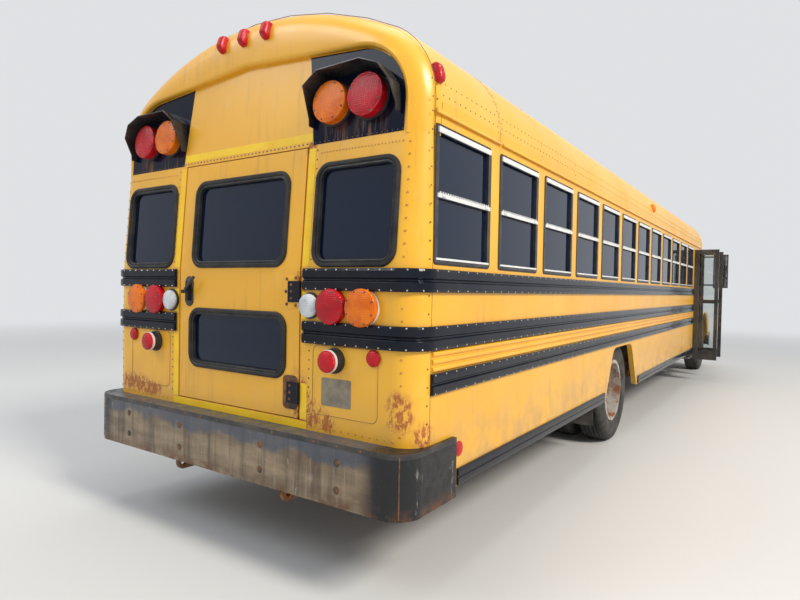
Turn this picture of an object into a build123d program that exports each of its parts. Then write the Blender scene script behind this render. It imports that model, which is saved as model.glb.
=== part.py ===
import os
from math import atan, atan2, cos, sin

from build123d import *

# A conventional school bus as it parks: X to the curb side, Y forward, Z up from the ground.
# The origin is on the ground in the middle of the length. All sizes are millimetres.

# Overall sizes
length = 11700.0
half_width = 1219.0
roof_top = 2990.0
eave_z = 2365.0
belt_z = 1575.0
skirt_z = 485.0
haunch_radius = 430.0
corner_radius = 130.0
wall = 50.0
rear_lean = 100.0
front_lean = 260.0
cowl_z = 1500.0
bumper_reach = 110.0
body_length = 9950.0
rear_axle_back = 3850.0
wheelbase = 6760.0
floor_top = 950.0
floor_thick = 50.0
fit = 0.3
running = 6.0

# Stations along the bus
rear = -length / 2 + bumper_reach
front = rear + body_length
rear_axle_y = rear + rear_axle_back
front_axle_y = rear_axle_y + wheelbase
seam_back = 125.0
rear_seam = rear + seam_back
front_seam = front - front_lean - 180.0
apron_low = 710.0
floor_low = floor_top - floor_thick

# Side windows
window_count = 12
window_pitch = 711.0
window_first = 137.0
window_wide = 580.0
window_low = 1605.0
window_high = 2245.0
frame_band = 26.0
frame_deep = 40.0
glass_thick = 6.0

# Entrance doorway, curb side
doorway_back = 8740.0
doorway_wide = 720.0
doorway_high = 2240.0
leaf_low = 380.0
leaf_thick = 34.0
leaf_band = 55.0

# Rear emergency door and the windows beside it
rear_door_half = 500.0
rear_door_low = 800.0
rear_door_high = 2200.0
rear_door_gap = 11.0
rear_door_pin_x = 505.0
rear_door_pin_out = 8.0
upper_pane_half = 372.0
upper_pane_low = 1606.0
upper_pane_high = 2075.0
lower_pane_half = 385.0
lower_pane_low = 1015.0
lower_pane_high = 1321.0
corner_pane_in = 598.0
corner_pane_out = 1075.0
corner_pane_low = 1603.0
corner_pane_high = 2088.0
pane_radius = 62.0

# Rub rails: name, lower edge, upper edge
rail_proud = 20.0
rails = [
    ("belt", 1465.0, 1575.0),
    ("middle", 1195.0, 1308.0),
    ("lower", 985.0, 1085.0),
]

# Round rear lamps between the two upper rails
lamp_z = 1386.0
clear_x = 580.0
red_x = 730.0
amber_x = 922.0

# Wheels
tyre_radius = 500.0
tyre_half = 127.0
rim_radius = 286.0
bead = 0.80
bead_high = 18.0
front_track_half = 1010.0
rim_dish = 60.0
hub_seat = 30.0
hub_radius = 72.0
dual_outer_x = 1022.0
dual_spread = 320.0
kingpin_x = 900.0
kingpin_half = 130.0
arch_low_half = 660.0
arch_high_half = 360.0
arch_top = 955.0

# Frame and running gear
frame_x = 430.0
frame_flange = 80.0
frame_low = 560.0
frame_high = 800.0
frame_web = 9.0
engine_seat = frame_low + 100.0

# Hood
hood_front = length / 2 - 160.0
hood_pivot_y = hood_front - 10.0
hood_pivot_z = 640.0
hood_gap = 12.0
hood_skin = 24.0
fender_top = 1130.0
hood_back_z = 1490.0
hood_front_z = 1330.0
hood_half = 760.0
grille_low = 790.0
front_arch_radius = 620.0
hood_lug_x = 470.0
hood_lug_thick = 20.0

os.makedirs("parts", exist_ok=True)


def keep(piece, node):
    """Label a finished piece and write it as one file named after its node."""
    piece.part.label = node
    export_step(piece.part, f"parts/{node}.step")


def on_x(x):
    """A plane that looks along +X at x: its own axes are Y and Z."""
    return Plane.YZ.offset(x)


def on_y(y):
    """A plane at y that is seen from behind: its own axes are X and Z."""
    return Plane.XZ.offset(-y)


def block(low, high, mode=Mode.ADD):
    """A box between two corners, for use inside a part."""
    size = [high[i] - low[i] for i in range(3)]
    middle = [(high[i] + low[i]) / 2 for i in range(3)]
    with Locations(tuple(middle)):
        Box(*size, mode=mode)


# Upper rear wall: it leans forward above the belt
lean_angle = atan(rear_lean / (roof_top - belt_z))
upper_rear = Plane(
    origin=(0, rear, belt_z),
    x_dir=(1, 0, 0),
    z_dir=(0, -cos(lean_angle), sin(lean_angle)),
)


def on_upper(z):
    """Height z on the ground's scale as a height on the upper rear plane."""
    return (z - belt_z) / cos(lean_angle)


def body_outline(inset, low):
    """Cross-section of the body: straight sides, haunch arcs and a crown arc."""
    half = half_width - inset
    top = roof_top - inset
    haunch = haunch_radius - inset
    haunch_x = half_width - haunch_radius
    rise = roof_top - eave_z
    crown = (haunch_x**2 + rise**2 - haunch_radius**2) / (2 * (rise - haunch_radius)) - inset
    crown_z = top - crown
    turn = atan2(eave_z - crown_z, haunch_x)
    join = (crown * cos(turn), crown_z + crown * sin(turn))
    mid = (haunch_x + haunch * cos(turn / 2), eave_z + haunch * sin(turn / 2))
    with BuildLine() as line:
        Line((half, low), (half, eave_z))
        ThreePointArc((half, eave_z), mid, join)
        ThreePointArc(join, (0, top), (-join[0], join[1]))
        ThreePointArc((-join[0], join[1]), (-mid[0], mid[1]), (-half, eave_z))
        Polyline((-half, eave_z), (-half, low), (half, low))
    return line


def body_form(inset):
    """The closed form of the body, moved in from the outer skin by inset."""
    low = skirt_z if inset == 0 else skirt_z - wall
    top = roof_top + wall
    lean_top = rear_lean * (top - belt_z) / (roof_top - belt_z)
    with BuildPart() as form:
        with BuildSketch(on_y(rear - wall)):
            with BuildLine():
                add(body_outline(inset, low))
            make_face()
        extrude(amount=-(front - rear + 2 * wall))
        with BuildSketch(Plane.YZ):
            with BuildLine():
                Polyline(
                    (rear + inset, low - wall),
                    (rear + inset, belt_z),
                    (rear + inset + lean_top, top),
                    (front - inset - front_lean, top),
                    (front - inset, cowl_z),
                    (front - inset, low - wall),
                    close=True,
                )
            make_face()
        extrude(amount=half_width + wall, both=True, mode=Mode.INTERSECT)
        rim = ShapeList()
        for end in form.faces().filter_by(lambda face: abs(face.normal_at().Y) > 0.9):
            for edge in end.edges():
                size = edge.bounding_box().size
                if size.X < half_width or size.Z > 1:
                    rim.append(edge)
        fillet(rim, corner_radius - inset)
    return form.part


outer_form = body_form(0)
inner_form = body_form(wall)

with BuildPart() as shell:
    add(outer_form)
    add(inner_form, mode=Mode.SUBTRACT)

far = length
window_places = [rear + window_first + window_pitch * i for i in range(window_count)]
doorway_rear = rear + doorway_back
doorway_front = doorway_rear + doorway_wide


def wheel_arch(y, mode):
    """The opening in a skirt at a wheel, with rounded upper corners."""
    with BuildSketch(on_x(-half_width - wall)) as outline:
        with BuildLine():
            FilletPolyline(
                (y - arch_low_half, skirt_z - wall),
                (y - arch_high_half, arch_top),
                (y + arch_high_half, arch_top),
                (y + arch_low_half, skirt_z - wall),
                radius=150.0,
            )
            Line((y + arch_low_half, skirt_z - wall), (y - arch_low_half, skirt_z - wall))
        make_face()
    extrude(outline.sketch, amount=2 * (half_width + wall), mode=mode)


# Side walls
corrugation_low = rails[2][2]
corrugation_high = rails[1][1]
ridge_count = 3
ridge_proud = 12.0


def side_wall(side):
    """One side wall: its skirt, window band and corrugated panel."""
    with BuildPart() as made:
        add(shell.part)
        low_x = 0 if side > 0 else -far
        block((low_x, rear_seam, 0), (low_x + far, front_seam, eave_z), Mode.INTERSECT)
        with BuildSketch(on_x(side * (half_width + wall))):
            for y in window_places:
                with Locations((y + window_wide / 2, (window_low + window_high) / 2)):
                    Rectangle(window_wide, window_high - window_low)
            door_low = 0 if side > 0 else window_low
            door_high = doorway_high if side > 0 else window_high
            with Locations((doorway_rear + doorway_wide / 2, (door_low + door_high) / 2)):
                Rectangle(doorway_wide, door_high - door_low)
        extrude(amount=-side * 3 * wall, mode=Mode.SUBTRACT)
        wheel_arch(rear_axle_y, Mode.SUBTRACT)
        band = (corrugation_high - corrugation_low) / ridge_count
        ridge_end = doorway_rear - 60.0
        for i in range(ridge_count):
            z = corrugation_low + band * (i + 0.5)
            with BuildSketch(on_y(rear_seam + 10.0)):
                with BuildLine():
                    x = side * half_width
                    ThreePointArc(
                        (x, z - band * 0.4), (x + side * ridge_proud, z), (x, z + band * 0.4)
                    )
                    Line((x, z + band * 0.4), (x, z - band * 0.4))
                make_face()
            extrude(amount=-(ridge_end - rear_seam - 10.0))
    return made


side_wall_right = side_wall(1)
side_wall_left = side_wall(-1)
keep(side_wall_right, "side_wall_right")
keep(side_wall_left, "side_wall_left")


# Rear wall with its doorway and two corner windows
def pane_sketch(low_x, high_x, low_z, high_z, inset=0.0):
    """A rounded window outline on the upper rear plane."""
    with Locations(((low_x + high_x) / 2, (on_upper(low_z) + on_upper(high_z)) / 2)):
        wide = high_x - low_x - 2 * inset
        tall = on_upper(high_z) - on_upper(low_z) - 2 * inset
        RectangleRounded(wide, tall, pane_radius - inset)


with BuildPart() as rear_wall:
    add(shell.part)
    block((-far, -far, 0), (far, rear_seam, far), Mode.INTERSECT)
    opening = rear_door_half + rear_door_gap
    block(
        (-opening, -far, rear_door_low - running),
        (opening, rear_seam + wall, rear_door_high + running),
        Mode.SUBTRACT,
    )
    with BuildSketch(upper_rear.offset(wall)):
        for side in (-1, 1):
            ends = sorted((side * corner_pane_in, side * corner_pane_out))
            pane_sketch(ends[0], ends[1], corner_pane_low, corner_pane_high)
    extrude(amount=-3 * wall, mode=Mode.SUBTRACT)
    apron_half = half_width - corner_radius
    block((-apron_half, -far, 0), (apron_half, rear_seam, apron_low), Mode.SUBTRACT)
keep(rear_wall, "rear_wall")

# Roof with two hatchways, each with a raised frame
hatch_half = 290.0
hatch_frame = 40.0
hatch_frame_top = roof_top + 22.0
hatch_places = [rear + 2900.0, rear + 7100.0]
with BuildPart() as roof:
    add(shell.part)
    block((-far, rear_seam, eave_z), (far, front_seam, far), Mode.INTERSECT)
    for y in hatch_places:
        ring = hatch_half + hatch_frame
        block((-ring, y - ring, roof_top - wall), (ring, y + ring, hatch_frame_top))
    for y in hatch_places:
        block(
            (-hatch_half, y - hatch_half, roof_top - 4 * wall),
            (hatch_half, y + hatch_half, far),
            Mode.SUBTRACT,
        )
keep(roof, "roof")

lid_thick = 32.0
for name, y in zip(("hatch_rear", "hatch_front"), hatch_places):
    with BuildPart() as hatch:
        reach = hatch_half + hatch_frame + 14.0
        block(
            (-reach, y - reach, hatch_frame_top + fit),
            (reach, y + reach, hatch_frame_top + fit + lid_thick),
        )
        fillet(hatch.edges().filter_by(Axis.Z), 50.0)
        chamfer(hatch.faces().sort_by(Axis.Z)[-1].edges(), 10.0)
    keep(hatch, name)

# Front wall: cowl, windshield posts and front roof cap
shield_half = 1030.0
shield_low = 1580.0
shield_high = 2300.0
shield_post = 50.0
with BuildPart() as front_wall:
    add(shell.part)
    block((-far, front_seam, 0), (far, far, far), Mode.INTERSECT)
    for side in (-1, 1):
        ends = sorted((side * shield_post / 2, side * shield_half))
        block(
            (ends[0], front - 2 * front_lean, shield_low),
            (ends[1], far, shield_high),
            Mode.SUBTRACT,
        )
    for side in (-1, 1):
        ends = sorted((side * (half_width - 2 * wall), side * far))
        block(
            (ends[0], front_seam + 70.0, shield_low),
            (ends[1], front - 220.0, shield_high - 160.0),
            Mode.SUBTRACT,
        )
    block((-half_width + wall, front_seam, 0), (half_width - wall, far, floor_low), Mode.SUBTRACT)
keep(front_wall, "front_wall")

# Floor: deck and cross sills, open over the rear wheels and at the entrance steps
housing_in = 545.0
housing_half = 600.0
housing_top = 1090.0
housing_skin = 15.0
sill_low = frame_high
sill_half = 30.0
sill_count = 13
step_in = 560.0
with BuildPart() as floor:
    add(inner_form)
    block((-far, -far, floor_low), (far, far, floor_top), Mode.INTERSECT)
    for i in range(sill_count):
        y = rear + 300.0 + window_pitch * i
        reach = half_width - wall
        if abs(y - rear_axle_y) < housing_half + sill_half:
            reach = housing_in
        at_steps = doorway_rear - 60.0 < y < doorway_front + 60.0
        right = step_in - 40.0 if at_steps else reach
        block((-reach, y - sill_half, sill_low), (right, y + sill_half, floor_low))
    for side in (-1, 1):
        ends = sorted((side * housing_in, side * half_width))
        block(
            (ends[0], rear_axle_y - housing_half, 0),
            (ends[1], rear_axle_y + housing_half, floor_top),
            Mode.SUBTRACT,
        )
    block(
        (step_in, doorway_rear - 20.0, 0),
        (half_width - wall, doorway_front + 20.0, floor_top),
        Mode.SUBTRACT,
    )
keep(floor, "floor")

# Wheelhouses: a box over each pair of rear wheels, set in the floor
with BuildPart() as wheelhouses:
    for side in (-1, 1):
        ends = sorted((side * housing_in, side * (half_width - wall)))
        block(
            (ends[0], rear_axle_y - housing_half, sill_low),
            (ends[1], rear_axle_y + housing_half, housing_top),
        )
        ends = sorted((side * (housing_in + housing_skin), side * (half_width - wall)))
        block(
            (ends[0], rear_axle_y - housing_half + housing_skin, sill_low),
            (ends[1], rear_axle_y + housing_half - housing_skin, housing_top - housing_skin),
            Mode.SUBTRACT,
        )
keep(wheelhouses, "wheelhouses")

# Entrance steps: treads and risers down from the floor to the lowest step
step_count = 3
step_skin = 30.0
step_low = 400.0
step_rise = (floor_top - step_low) / step_count
step_going = (half_width - wall - step_in) / step_count
with BuildPart() as entrance_steps:
    for i in range(step_count):
        out_x = half_width - wall - step_going * i
        riser_x = out_x - step_going
        tread_z = step_low + step_rise * i
        block(
            (riser_x, doorway_rear - 20.0, tread_z - step_skin),
            (out_x + (step_skin if i else 0), doorway_front + 20.0, tread_z),
        )
        block(
            (riser_x, doorway_rear - 20.0, tread_z - step_skin),
            (riser_x + step_skin, doorway_front + 20.0, tread_z + step_rise),
        )
keep(entrance_steps, "entrance_steps")

# Rub rails: three ribbed rails round each side and rear corner, and a skirt rail
rail_end = doorway_rear - 40.0


def rail_profile(low, high):
    """A rail's section standing on the side skin: two rounded ribs and a groove."""
    tall = high - low
    groove = rail_proud * 0.45
    with BuildLine() as line:
        FilletPolyline(
            (0, low),
            (rail_proud * 0.8, low),
            (rail_proud, low + tall * 0.12),
            (rail_proud, low + tall * 0.40),
            (groove, low + tall * 0.47),
            (groove, low + tall * 0.53),
            (rail_proud, low + tall * 0.60),
            (rail_proud, low + tall * 0.88),
            (rail_proud * 0.8, high),
            (0, high),
            radius=3.0,
        )
        Line((0, high), (0, low))
    return line


with BuildPart() as rub_rails:
    for name, low, high in rails:
        with BuildLine() as route:
            if name == "lower":
                Line((-half_width, rear_seam), (-half_width, rail_end))
            else:
                FilletPolyline(
                    (-rear_door_half - 35.0, rear),
                    (-half_width, rear),
                    (-half_width, rail_end),
                    radius=corner_radius,
                )
        out = (-1, 0, 0) if name == "lower" else (0, -1, 0)
        along = (0, 1, 0) if name == "lower" else (-1, 0, 0)
        start = route.line @ 0
        with BuildSketch(Plane(origin=start, x_dir=out, z_dir=along)) as cut:
            with BuildLine():
                add(rail_profile(low, high))
            make_face()
        sweep(cut.sketch, path=route.line)
    mirror(about=Plane.YZ)
    for x, wide in ((clear_x, 115.0), (red_x, 172.0), (amber_x, 178.0)):
        for side in (-1, 1):
            with Locations(Plane(origin=(side * x, rear, lamp_z), z_dir=(0, -1, 0))):
                Cylinder(wide / 2 + 1.0, 3 * rail_proud, mode=Mode.SUBTRACT)
keep(rub_rails, "rub_rails")

# Silver side window frames with a middle rail, and their panes
sash_z = (window_low + window_high) / 2
pane_out = 14.0
frame_places = [(side, y) for side in (-1, 1) for y in window_places] + [(-1, doorway_rear)]
frame_wides = {doorway_rear: doorway_wide}
with BuildPart() as window_frames:
    for side, y in frame_places:
        wide = frame_wides.get(y, window_wide)
        plane = on_x(side * (half_width + 4.0))
        with BuildSketch(plane):
            with Locations((y + wide / 2, sash_z)):
                Rectangle(wide, window_high - window_low)
            with Locations((y + wide / 2, sash_z)):
                Rectangle(
                    wide - 2 * frame_band,
                    window_high - window_low - 2 * frame_band,
                    mode=Mode.SUBTRACT,
                )
            with Locations((y + wide / 2, sash_z)):
                Rectangle(wide - frame_band, frame_band)
        extrude(amount=-side * frame_deep)
keep(window_frames, "window_frames")

with BuildPart() as side_glass:
    pane_tall = (window_high - window_low) / 2 - 1.5 * frame_band
    for side, y in frame_places:
        wide = frame_wides.get(y, window_wide)
        with BuildSketch(on_x(side * (half_width - pane_out))):
            for turn in (-1, 1):
                offset_z = turn * (pane_tall + frame_band) / 2
                with Locations((y + wide / 2, sash_z + offset_z)):
                    Rectangle(wide - 2 * frame_band, pane_tall)
        extrude(amount=-side * glass_thick)
keep(side_glass, "side_glass")

# Rear corner panes, set in rubber in the wall
with BuildPart() as rear_glass:
    with BuildSketch(upper_rear.offset(-18.0)):
        for side in (-1, 1):
            ends = sorted((side * corner_pane_in, side * corner_pane_out))
            pane_sketch(ends[0], ends[1], corner_pane_low, corner_pane_high)
    extrude(amount=-glass_thick)
keep(rear_glass, "rear_glass")

# Windshield: two panes on the leaning front plane
shield_angle = atan(front_lean / (roof_top + wall - cowl_z))
front_plane = Plane(
    origin=(0, front, cowl_z),
    x_dir=(-1, 0, 0),
    z_dir=(0, cos(shield_angle), sin(shield_angle)),
)
with BuildPart() as windshield:
    with BuildSketch(front_plane.offset(-12.0)):
        with Locations((0, (shield_low + shield_high) / 2 - cowl_z + 8.0)):
            Rectangle(2 * half_width, 2 * half_width)
    extrude(amount=-glass_thick)
    with BuildPart(mode=Mode.PRIVATE) as shield_hole:
        for side in (-1, 1):
            ends = sorted((side * shield_post / 2, side * shield_half))
            block((ends[0], front - 2 * front_lean, shield_low), (ends[1], far, shield_high))
    add(shield_hole.part, mode=Mode.INTERSECT)
keep(windshield, "windshield")

# Chassis: two channel rails, cross members and tow hooks
frame_rear = rear + 50.0
frame_front = length / 2 - 105.0
member_count = 12
hook_z = 405.0
with BuildPart() as chassis_frame:
    for side in (-1, 1):
        with BuildSketch(on_y(frame_rear)):
            with BuildLine():
                outer_x = side * frame_x
                inner_x = side * (frame_x - frame_flange)
                web_x = side * (frame_x - frame_web)
                Polyline(
                    (outer_x, frame_low),
                    (outer_x, frame_high),
                    (inner_x, frame_high),
                    (inner_x, frame_high - frame_web),
                    (web_x, frame_high - frame_web),
                    (web_x, frame_low + frame_web),
                    (inner_x, frame_low + frame_web),
                    (inner_x, frame_low),
                    close=True,
                )
            make_face()
        extrude(amount=-(frame_front - frame_rear))
    member_pitch = (frame_front - frame_rear - 200.0) / (member_count - 1)
    for i in range(member_count):
        y = frame_rear + 100.0 + member_pitch * i
        low = frame_high - 100.0
        if y > front - 200.0:
            low = engine_seat - 80.0
        reach = frame_x - frame_web - fit
        block((-reach, y - 35.0, low), (reach, y + 35.0, low + 80.0))
    for side in (-1, 1):
        ends = sorted((side * (frame_x - frame_web / 2), side * (hood_lug_x - fit)))
        with BuildSketch(on_x(ends[0])):
            with Locations((hood_pivot_y, hood_pivot_z)):
                Circle(16.0)
        extrude(amount=ends[1] - ends[0])
keep(chassis_frame, "chassis_frame")

# Tow hooks: a plate bolted to the end of each rail, with an eye below the bumper
hook_thick = 24.0
hook_ring = 42.0
hook_eye = 20.0
with BuildPart() as tow_hooks:
    for side in (-1, 1):
        ends = sorted((side * frame_x, side * (frame_x + hook_thick)))
        block((ends[0], rear + 10.0, hook_z - hook_ring),
              (ends[1], frame_rear + 130.0, frame_low + 80.0))
        with BuildSketch(on_x(ends[0])):
            with Locations((rear - 10.0, hook_z)):
                Circle(hook_ring)
            with Locations((rear + 5.0, hook_z)):
                Rectangle(30.0, 2 * hook_ring)
            with Locations((rear - 10.0, hook_z)):
                Circle(hook_eye, mode=Mode.SUBTRACT)
        extrude(amount=hook_thick)
keep(tow_hooks, "tow_hooks")

# Bumpers: folded plate with rounded corners, open below
bumper_skin = 10.0
bumper_half = half_width + 26.0
bumper_low = 450.0
bumper_high = 750.0
bumper_wrap = 350.0
front_bumper_low = 430.0
front_bumper_high = 690.0
with BuildPart() as bumpers:
    bumper_rear = rear - bumper_reach
    with BuildSketch(Plane.XY.offset(bumper_low)) as bumper_plan:
        with BuildLine():
            FilletPolyline(
                (-bumper_half, rear + bumper_wrap),
                (-bumper_half, bumper_rear),
                (bumper_half, bumper_rear),
                (bumper_half, rear + bumper_wrap),
                radius=130.0,
            )
            Line((bumper_half, rear + bumper_wrap), (-bumper_half, rear + bumper_wrap))
        make_face()
    extrude(amount=bumper_high - bumper_low)
    inside = bumper_half - bumper_skin
    with BuildSketch(Plane.XY.offset(bumper_low)):
        with BuildLine():
            FilletPolyline(
                (-inside, rear + bumper_wrap),
                (-inside, bumper_rear + bumper_skin),
                (inside, bumper_rear + bumper_skin),
                (inside, rear + bumper_wrap),
                radius=120.0,
            )
            Line((inside, rear + bumper_wrap), (-inside, rear + bumper_wrap))
        make_face()
    extrude(amount=bumper_high - bumper_low - bumper_skin, mode=Mode.SUBTRACT)
    with BuildSketch(Plane.XY.offset(bumper_high + 1.0)):
        with BuildLine():
            reach = half_width + 1.0
            FilletPolyline(
                (-reach, rear + 2 * bumper_wrap),
                (-reach, rear - 1.0),
                (reach, rear - 1.0),
                (reach, rear + 2 * bumper_wrap),
                radius=corner_radius,
            )
            Line((reach, rear + 2 * bumper_wrap), (-reach, rear + 2 * bumper_wrap))
        make_face()
    extrude(amount=-2 * bumper_skin, mode=Mode.SUBTRACT)
    for side in (-1, 1):
        x = side * (frame_x - 40.0)
        ends = sorted((x - side * 30.0, x + side * 30.0))
        block(
            (ends[0] + 45 * (side < 0), bumper_rear + bumper_skin, frame_low + 60.0),
            (ends[1] - 45 * (side > 0), frame_rear, apron_low - 5.0),
        )
keep(bumpers, "rear_bumper")

with BuildPart() as front_bumper:
    with BuildSketch(Plane.XY.offset(front_bumper_low)):
        with BuildLine():
            FilletPolyline(
                (-1190.0, frame_front - 160.0),
                (-1190.0, length / 2 - 60.0),
                (-700.0, length / 2),
                (700.0, length / 2),
                (1190.0, length / 2 - 60.0),
                (1190.0, frame_front - 160.0),
                (1180.0, frame_front - 160.0),
                (1180.0, length / 2 - 70.0),
                (700.0, length / 2 - 10.0),
                (-700.0, length / 2 - 10.0),
                (-1180.0, length / 2 - 70.0),
                (-1180.0, frame_front - 160.0),
                radius=4.0,
                close=True,
            )
        make_face()
    extrude(amount=front_bumper_high - front_bumper_low)
    for side in (-1, 1):
        ends = sorted((side * (frame_x - 70.0), side * frame_x))
        block(
            (ends[0], frame_front, frame_low + 20.0),
            (ends[1], length / 2 - 10.0, frame_low + 110.0),
        )
keep(front_bumper, "front_bumper")


# Lamps: name, across, out from the middle, height, diameter, depth
def lamp_row(spots, plane, heights_on_plane):
    """Domed round lamps on a plane, mirrored to both sides."""
    for out, z, wide, deep in spots:
        for side in (-1, 1):
            height = on_upper(z) if heights_on_plane else z
            with BuildSketch(plane) as disc:
                with Locations((side * out, height)):
                    Circle(wide / 2)
            extrude(disc.sketch, amount=deep)


lower_rear = Plane(origin=(0, rear, 0), x_dir=(1, 0, 0), z_dir=(0, -1, 0))
warning_z = 2398.0
with BuildPart() as red_lamps:
    lamp_row([(red_x, lamp_z, 172.0, 40.0), (745.0, 1120.0, 104.0, 70.0),
              (985.0, 1150.0, 76.0, 12.0)], lower_rear, False)
    lamp_row([(900.0, warning_z, 205.0, 60.0)], upper_rear, True)
keep(red_lamps, "red_lamps")
with BuildPart() as amber_lamps:
    lamp_row([(amber_x, lamp_z, 178.0, 40.0)], lower_rear, False)
    lamp_row([(676.0, warning_z, 205.0, 60.0)], upper_rear, True)
keep(amber_lamps, "amber_lamps")
with BuildPart() as clear_lamps:
    lamp_row([(clear_x, lamp_z, 115.0, 30.0)], lower_rear, False)
keep(clear_lamps, "clear_lamps")

# Visors: an arched hood over each pair of warning lamps
visor_deep = 130.0
visor_skin = 6.0
with BuildPart() as lamp_visors:
    for side in (-1, 1):
        middle = side * 788.0
        rise = on_upper(warning_z)
        with BuildSketch(upper_rear):
            with Locations((middle, rise)):
                SlotCenterToCenter(224.0, 232.0 + 2 * visor_skin)
                SlotCenterToCenter(224.0, 232.0, mode=Mode.SUBTRACT)
            with Locations((middle, rise - 140.0)):
                Rectangle(600.0, 240.0, mode=Mode.SUBTRACT)
        extrude(amount=visor_deep)
keep(lamp_visors, "lamp_visors")

# Mudflaps behind the rear duals, hung from the floor sills
flap_y = rear_axle_y - 640.0
flap_thick = 10.0
flap_low = 250.0
with BuildPart() as mudflaps:
    for side in (-1, 1):
        ends = sorted((side * 525.0, side * 1110.0))
        block((ends[0], flap_y, flap_low), (ends[1], flap_y + flap_thick, floor_low))
keep(mudflaps, "mudflaps")

# Passenger seats: rows on both sides of the aisle
seat_rows = 11
seat_pitch = 711.0
seat_first = rear + 420.0
seat_in = 190.0
seat_out = 1130.0
cushion_low = floor_top + 300.0
cushion_thick = 120.0
cushion_deep = 400.0
back_thick = 85.0
back_top = floor_top + 1010.0
seat_side = [(side, seat_first + seat_pitch * i) for side in (-1, 1) for i in range(seat_rows)]
with BuildPart() as seat_pads:
    for side, y in seat_side:
        ends = sorted((side * seat_in, side * seat_out))
        block(
            (ends[0], y + back_thick + fit, cushion_low),
            (ends[1], y + back_thick + cushion_deep, cushion_low + cushion_thick),
        )
        block((ends[0], y, cushion_low), (ends[1], y + back_thick, back_top))
keep(seat_pads, "seat_pads")

# Seat frames: a beam under each cushion on two legs
with BuildPart() as seat_frames:
    for side, y in seat_side:
        over_housing = abs(y + 250.0 - rear_axle_y) < housing_half + 300.0
        foot = housing_top if over_housing else floor_top
        beam = cushion_low - 30.0
        ends = sorted((side * (seat_in + 40.0), side * (seat_out - 10.0)))
        block(
            (ends[0], y + 60.0, beam),
            (ends[1], y + 420.0, cushion_low - fit),
        )
        near = sorted((side * (seat_in + 60.0), side * (seat_in + 90.0)))
        block((near[0], y + 80.0, floor_top), (near[1], y + 400.0, beam))
        out = sorted((side * (seat_out - 60.0), side * (seat_out - 30.0)))
        block((out[0], y + 80.0, foot), (out[1], y + 400.0, beam))
keep(seat_frames, "seat_frames")

# Driver's seat, left of the aisle
driver_y = doorway_rear - 60.0
driver_x = -620.0
with BuildPart() as driver_seat:
    block((driver_x - 240.0, driver_y, floor_top + 330.0),
          (driver_x + 240.0, driver_y + 480.0, floor_top + 450.0))
    block((driver_x - 240.0, driver_y - 100.0, floor_top + 330.0),
          (driver_x + 240.0, driver_y, floor_top + 1080.0))
    fillet(driver_seat.edges().filter_by(Axis.Y), 30.0)
    with Locations((driver_x, driver_y + 220.0, floor_top + 165.0)):
        Cylinder(90.0, 330.0)
keep(driver_seat, "driver_seat")

# Dashboard, with the steering column and wheel
dash_back = front - wall - 420.0
with BuildPart() as dashboard:
    with BuildSketch(on_x(-half_width + wall + 60.0)):
        with BuildLine():
            Polyline(
                (front - wall, floor_top),
                (front - wall, shield_low - 30.0),
                (dash_back + 120.0, shield_low - 60.0),
                (dash_back, shield_low - 200.0),
                (dash_back + 40.0, floor_top + 320.0),
                (front - wall - 120.0, floor_top),
                close=True,
            )
        make_face()
    extrude(amount=half_width - wall + 380.0)
    column = Plane(
        origin=(driver_x, dash_back + 60.0, shield_low - 150.0),
        x_dir=(1, 0, 0),
        z_dir=(0, -0.62, 0.78),
    )
    with BuildSketch(column):
        Circle(35.0)
    extrude(amount=240.0)
    with BuildPart(column.offset(240.0), mode=Mode.PRIVATE) as wheel_ring:
        Torus(225.0, 15.0)
        Box(440.0, 40.0, 16.0)
        Cylinder(60.0, 30.0)
    add(wheel_ring.part)
    add(inner_form, mode=Mode.INTERSECT)
keep(dashboard, "dashboard")


# Wheels: a revolved tyre and a dished rim
def tyre_profile(middle):
    """Half-section of a tyre round X, about its middle plane."""
    edge = tyre_half
    with BuildLine() as line:
        Polyline(
            (middle - edge * bead, rim_radius),
            (middle - edge * bead, rim_radius + bead_high),
            (middle - edge * 0.96, rim_radius + 60.0),
        )
        ThreePointArc(
            (middle - edge * 0.96, rim_radius + 60.0),
            (middle - edge, rim_radius + 120.0),
            (middle - edge * 0.88, tyre_radius - 22.0),
        )
        Polyline(
            (middle - edge * 0.88, tyre_radius - 22.0),
            (middle - edge * 0.72, tyre_radius),
            (middle + edge * 0.72, tyre_radius),
            (middle + edge * 0.88, tyre_radius - 22.0),
        )
        ThreePointArc(
            (middle + edge * 0.88, tyre_radius - 22.0),
            (middle + edge, rim_radius + 120.0),
            (middle + edge * 0.96, rim_radius + 60.0),
        )
        Polyline(
            (middle + edge * 0.96, rim_radius + 60.0),
            (middle + edge * bead, rim_radius + bead_high),
            (middle + edge * bead, rim_radius),
            (middle - edge * bead, rim_radius),
        )
    return line


def tyre(y, middles):
    """Tyres on one axle end, each turned about the axle's line."""
    axle = Plane(origin=(0, y, tyre_radius), x_dir=(1, 0, 0), z_dir=(0, -1, 0))
    with BuildPart() as made:
        for middle in middles:
            with BuildSketch(axle):
                with BuildLine():
                    add(tyre_profile(middle))
                make_face()
            revolve(axis=Axis((0, y, tyre_radius), (1, 0, 0)))
    return made


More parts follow.
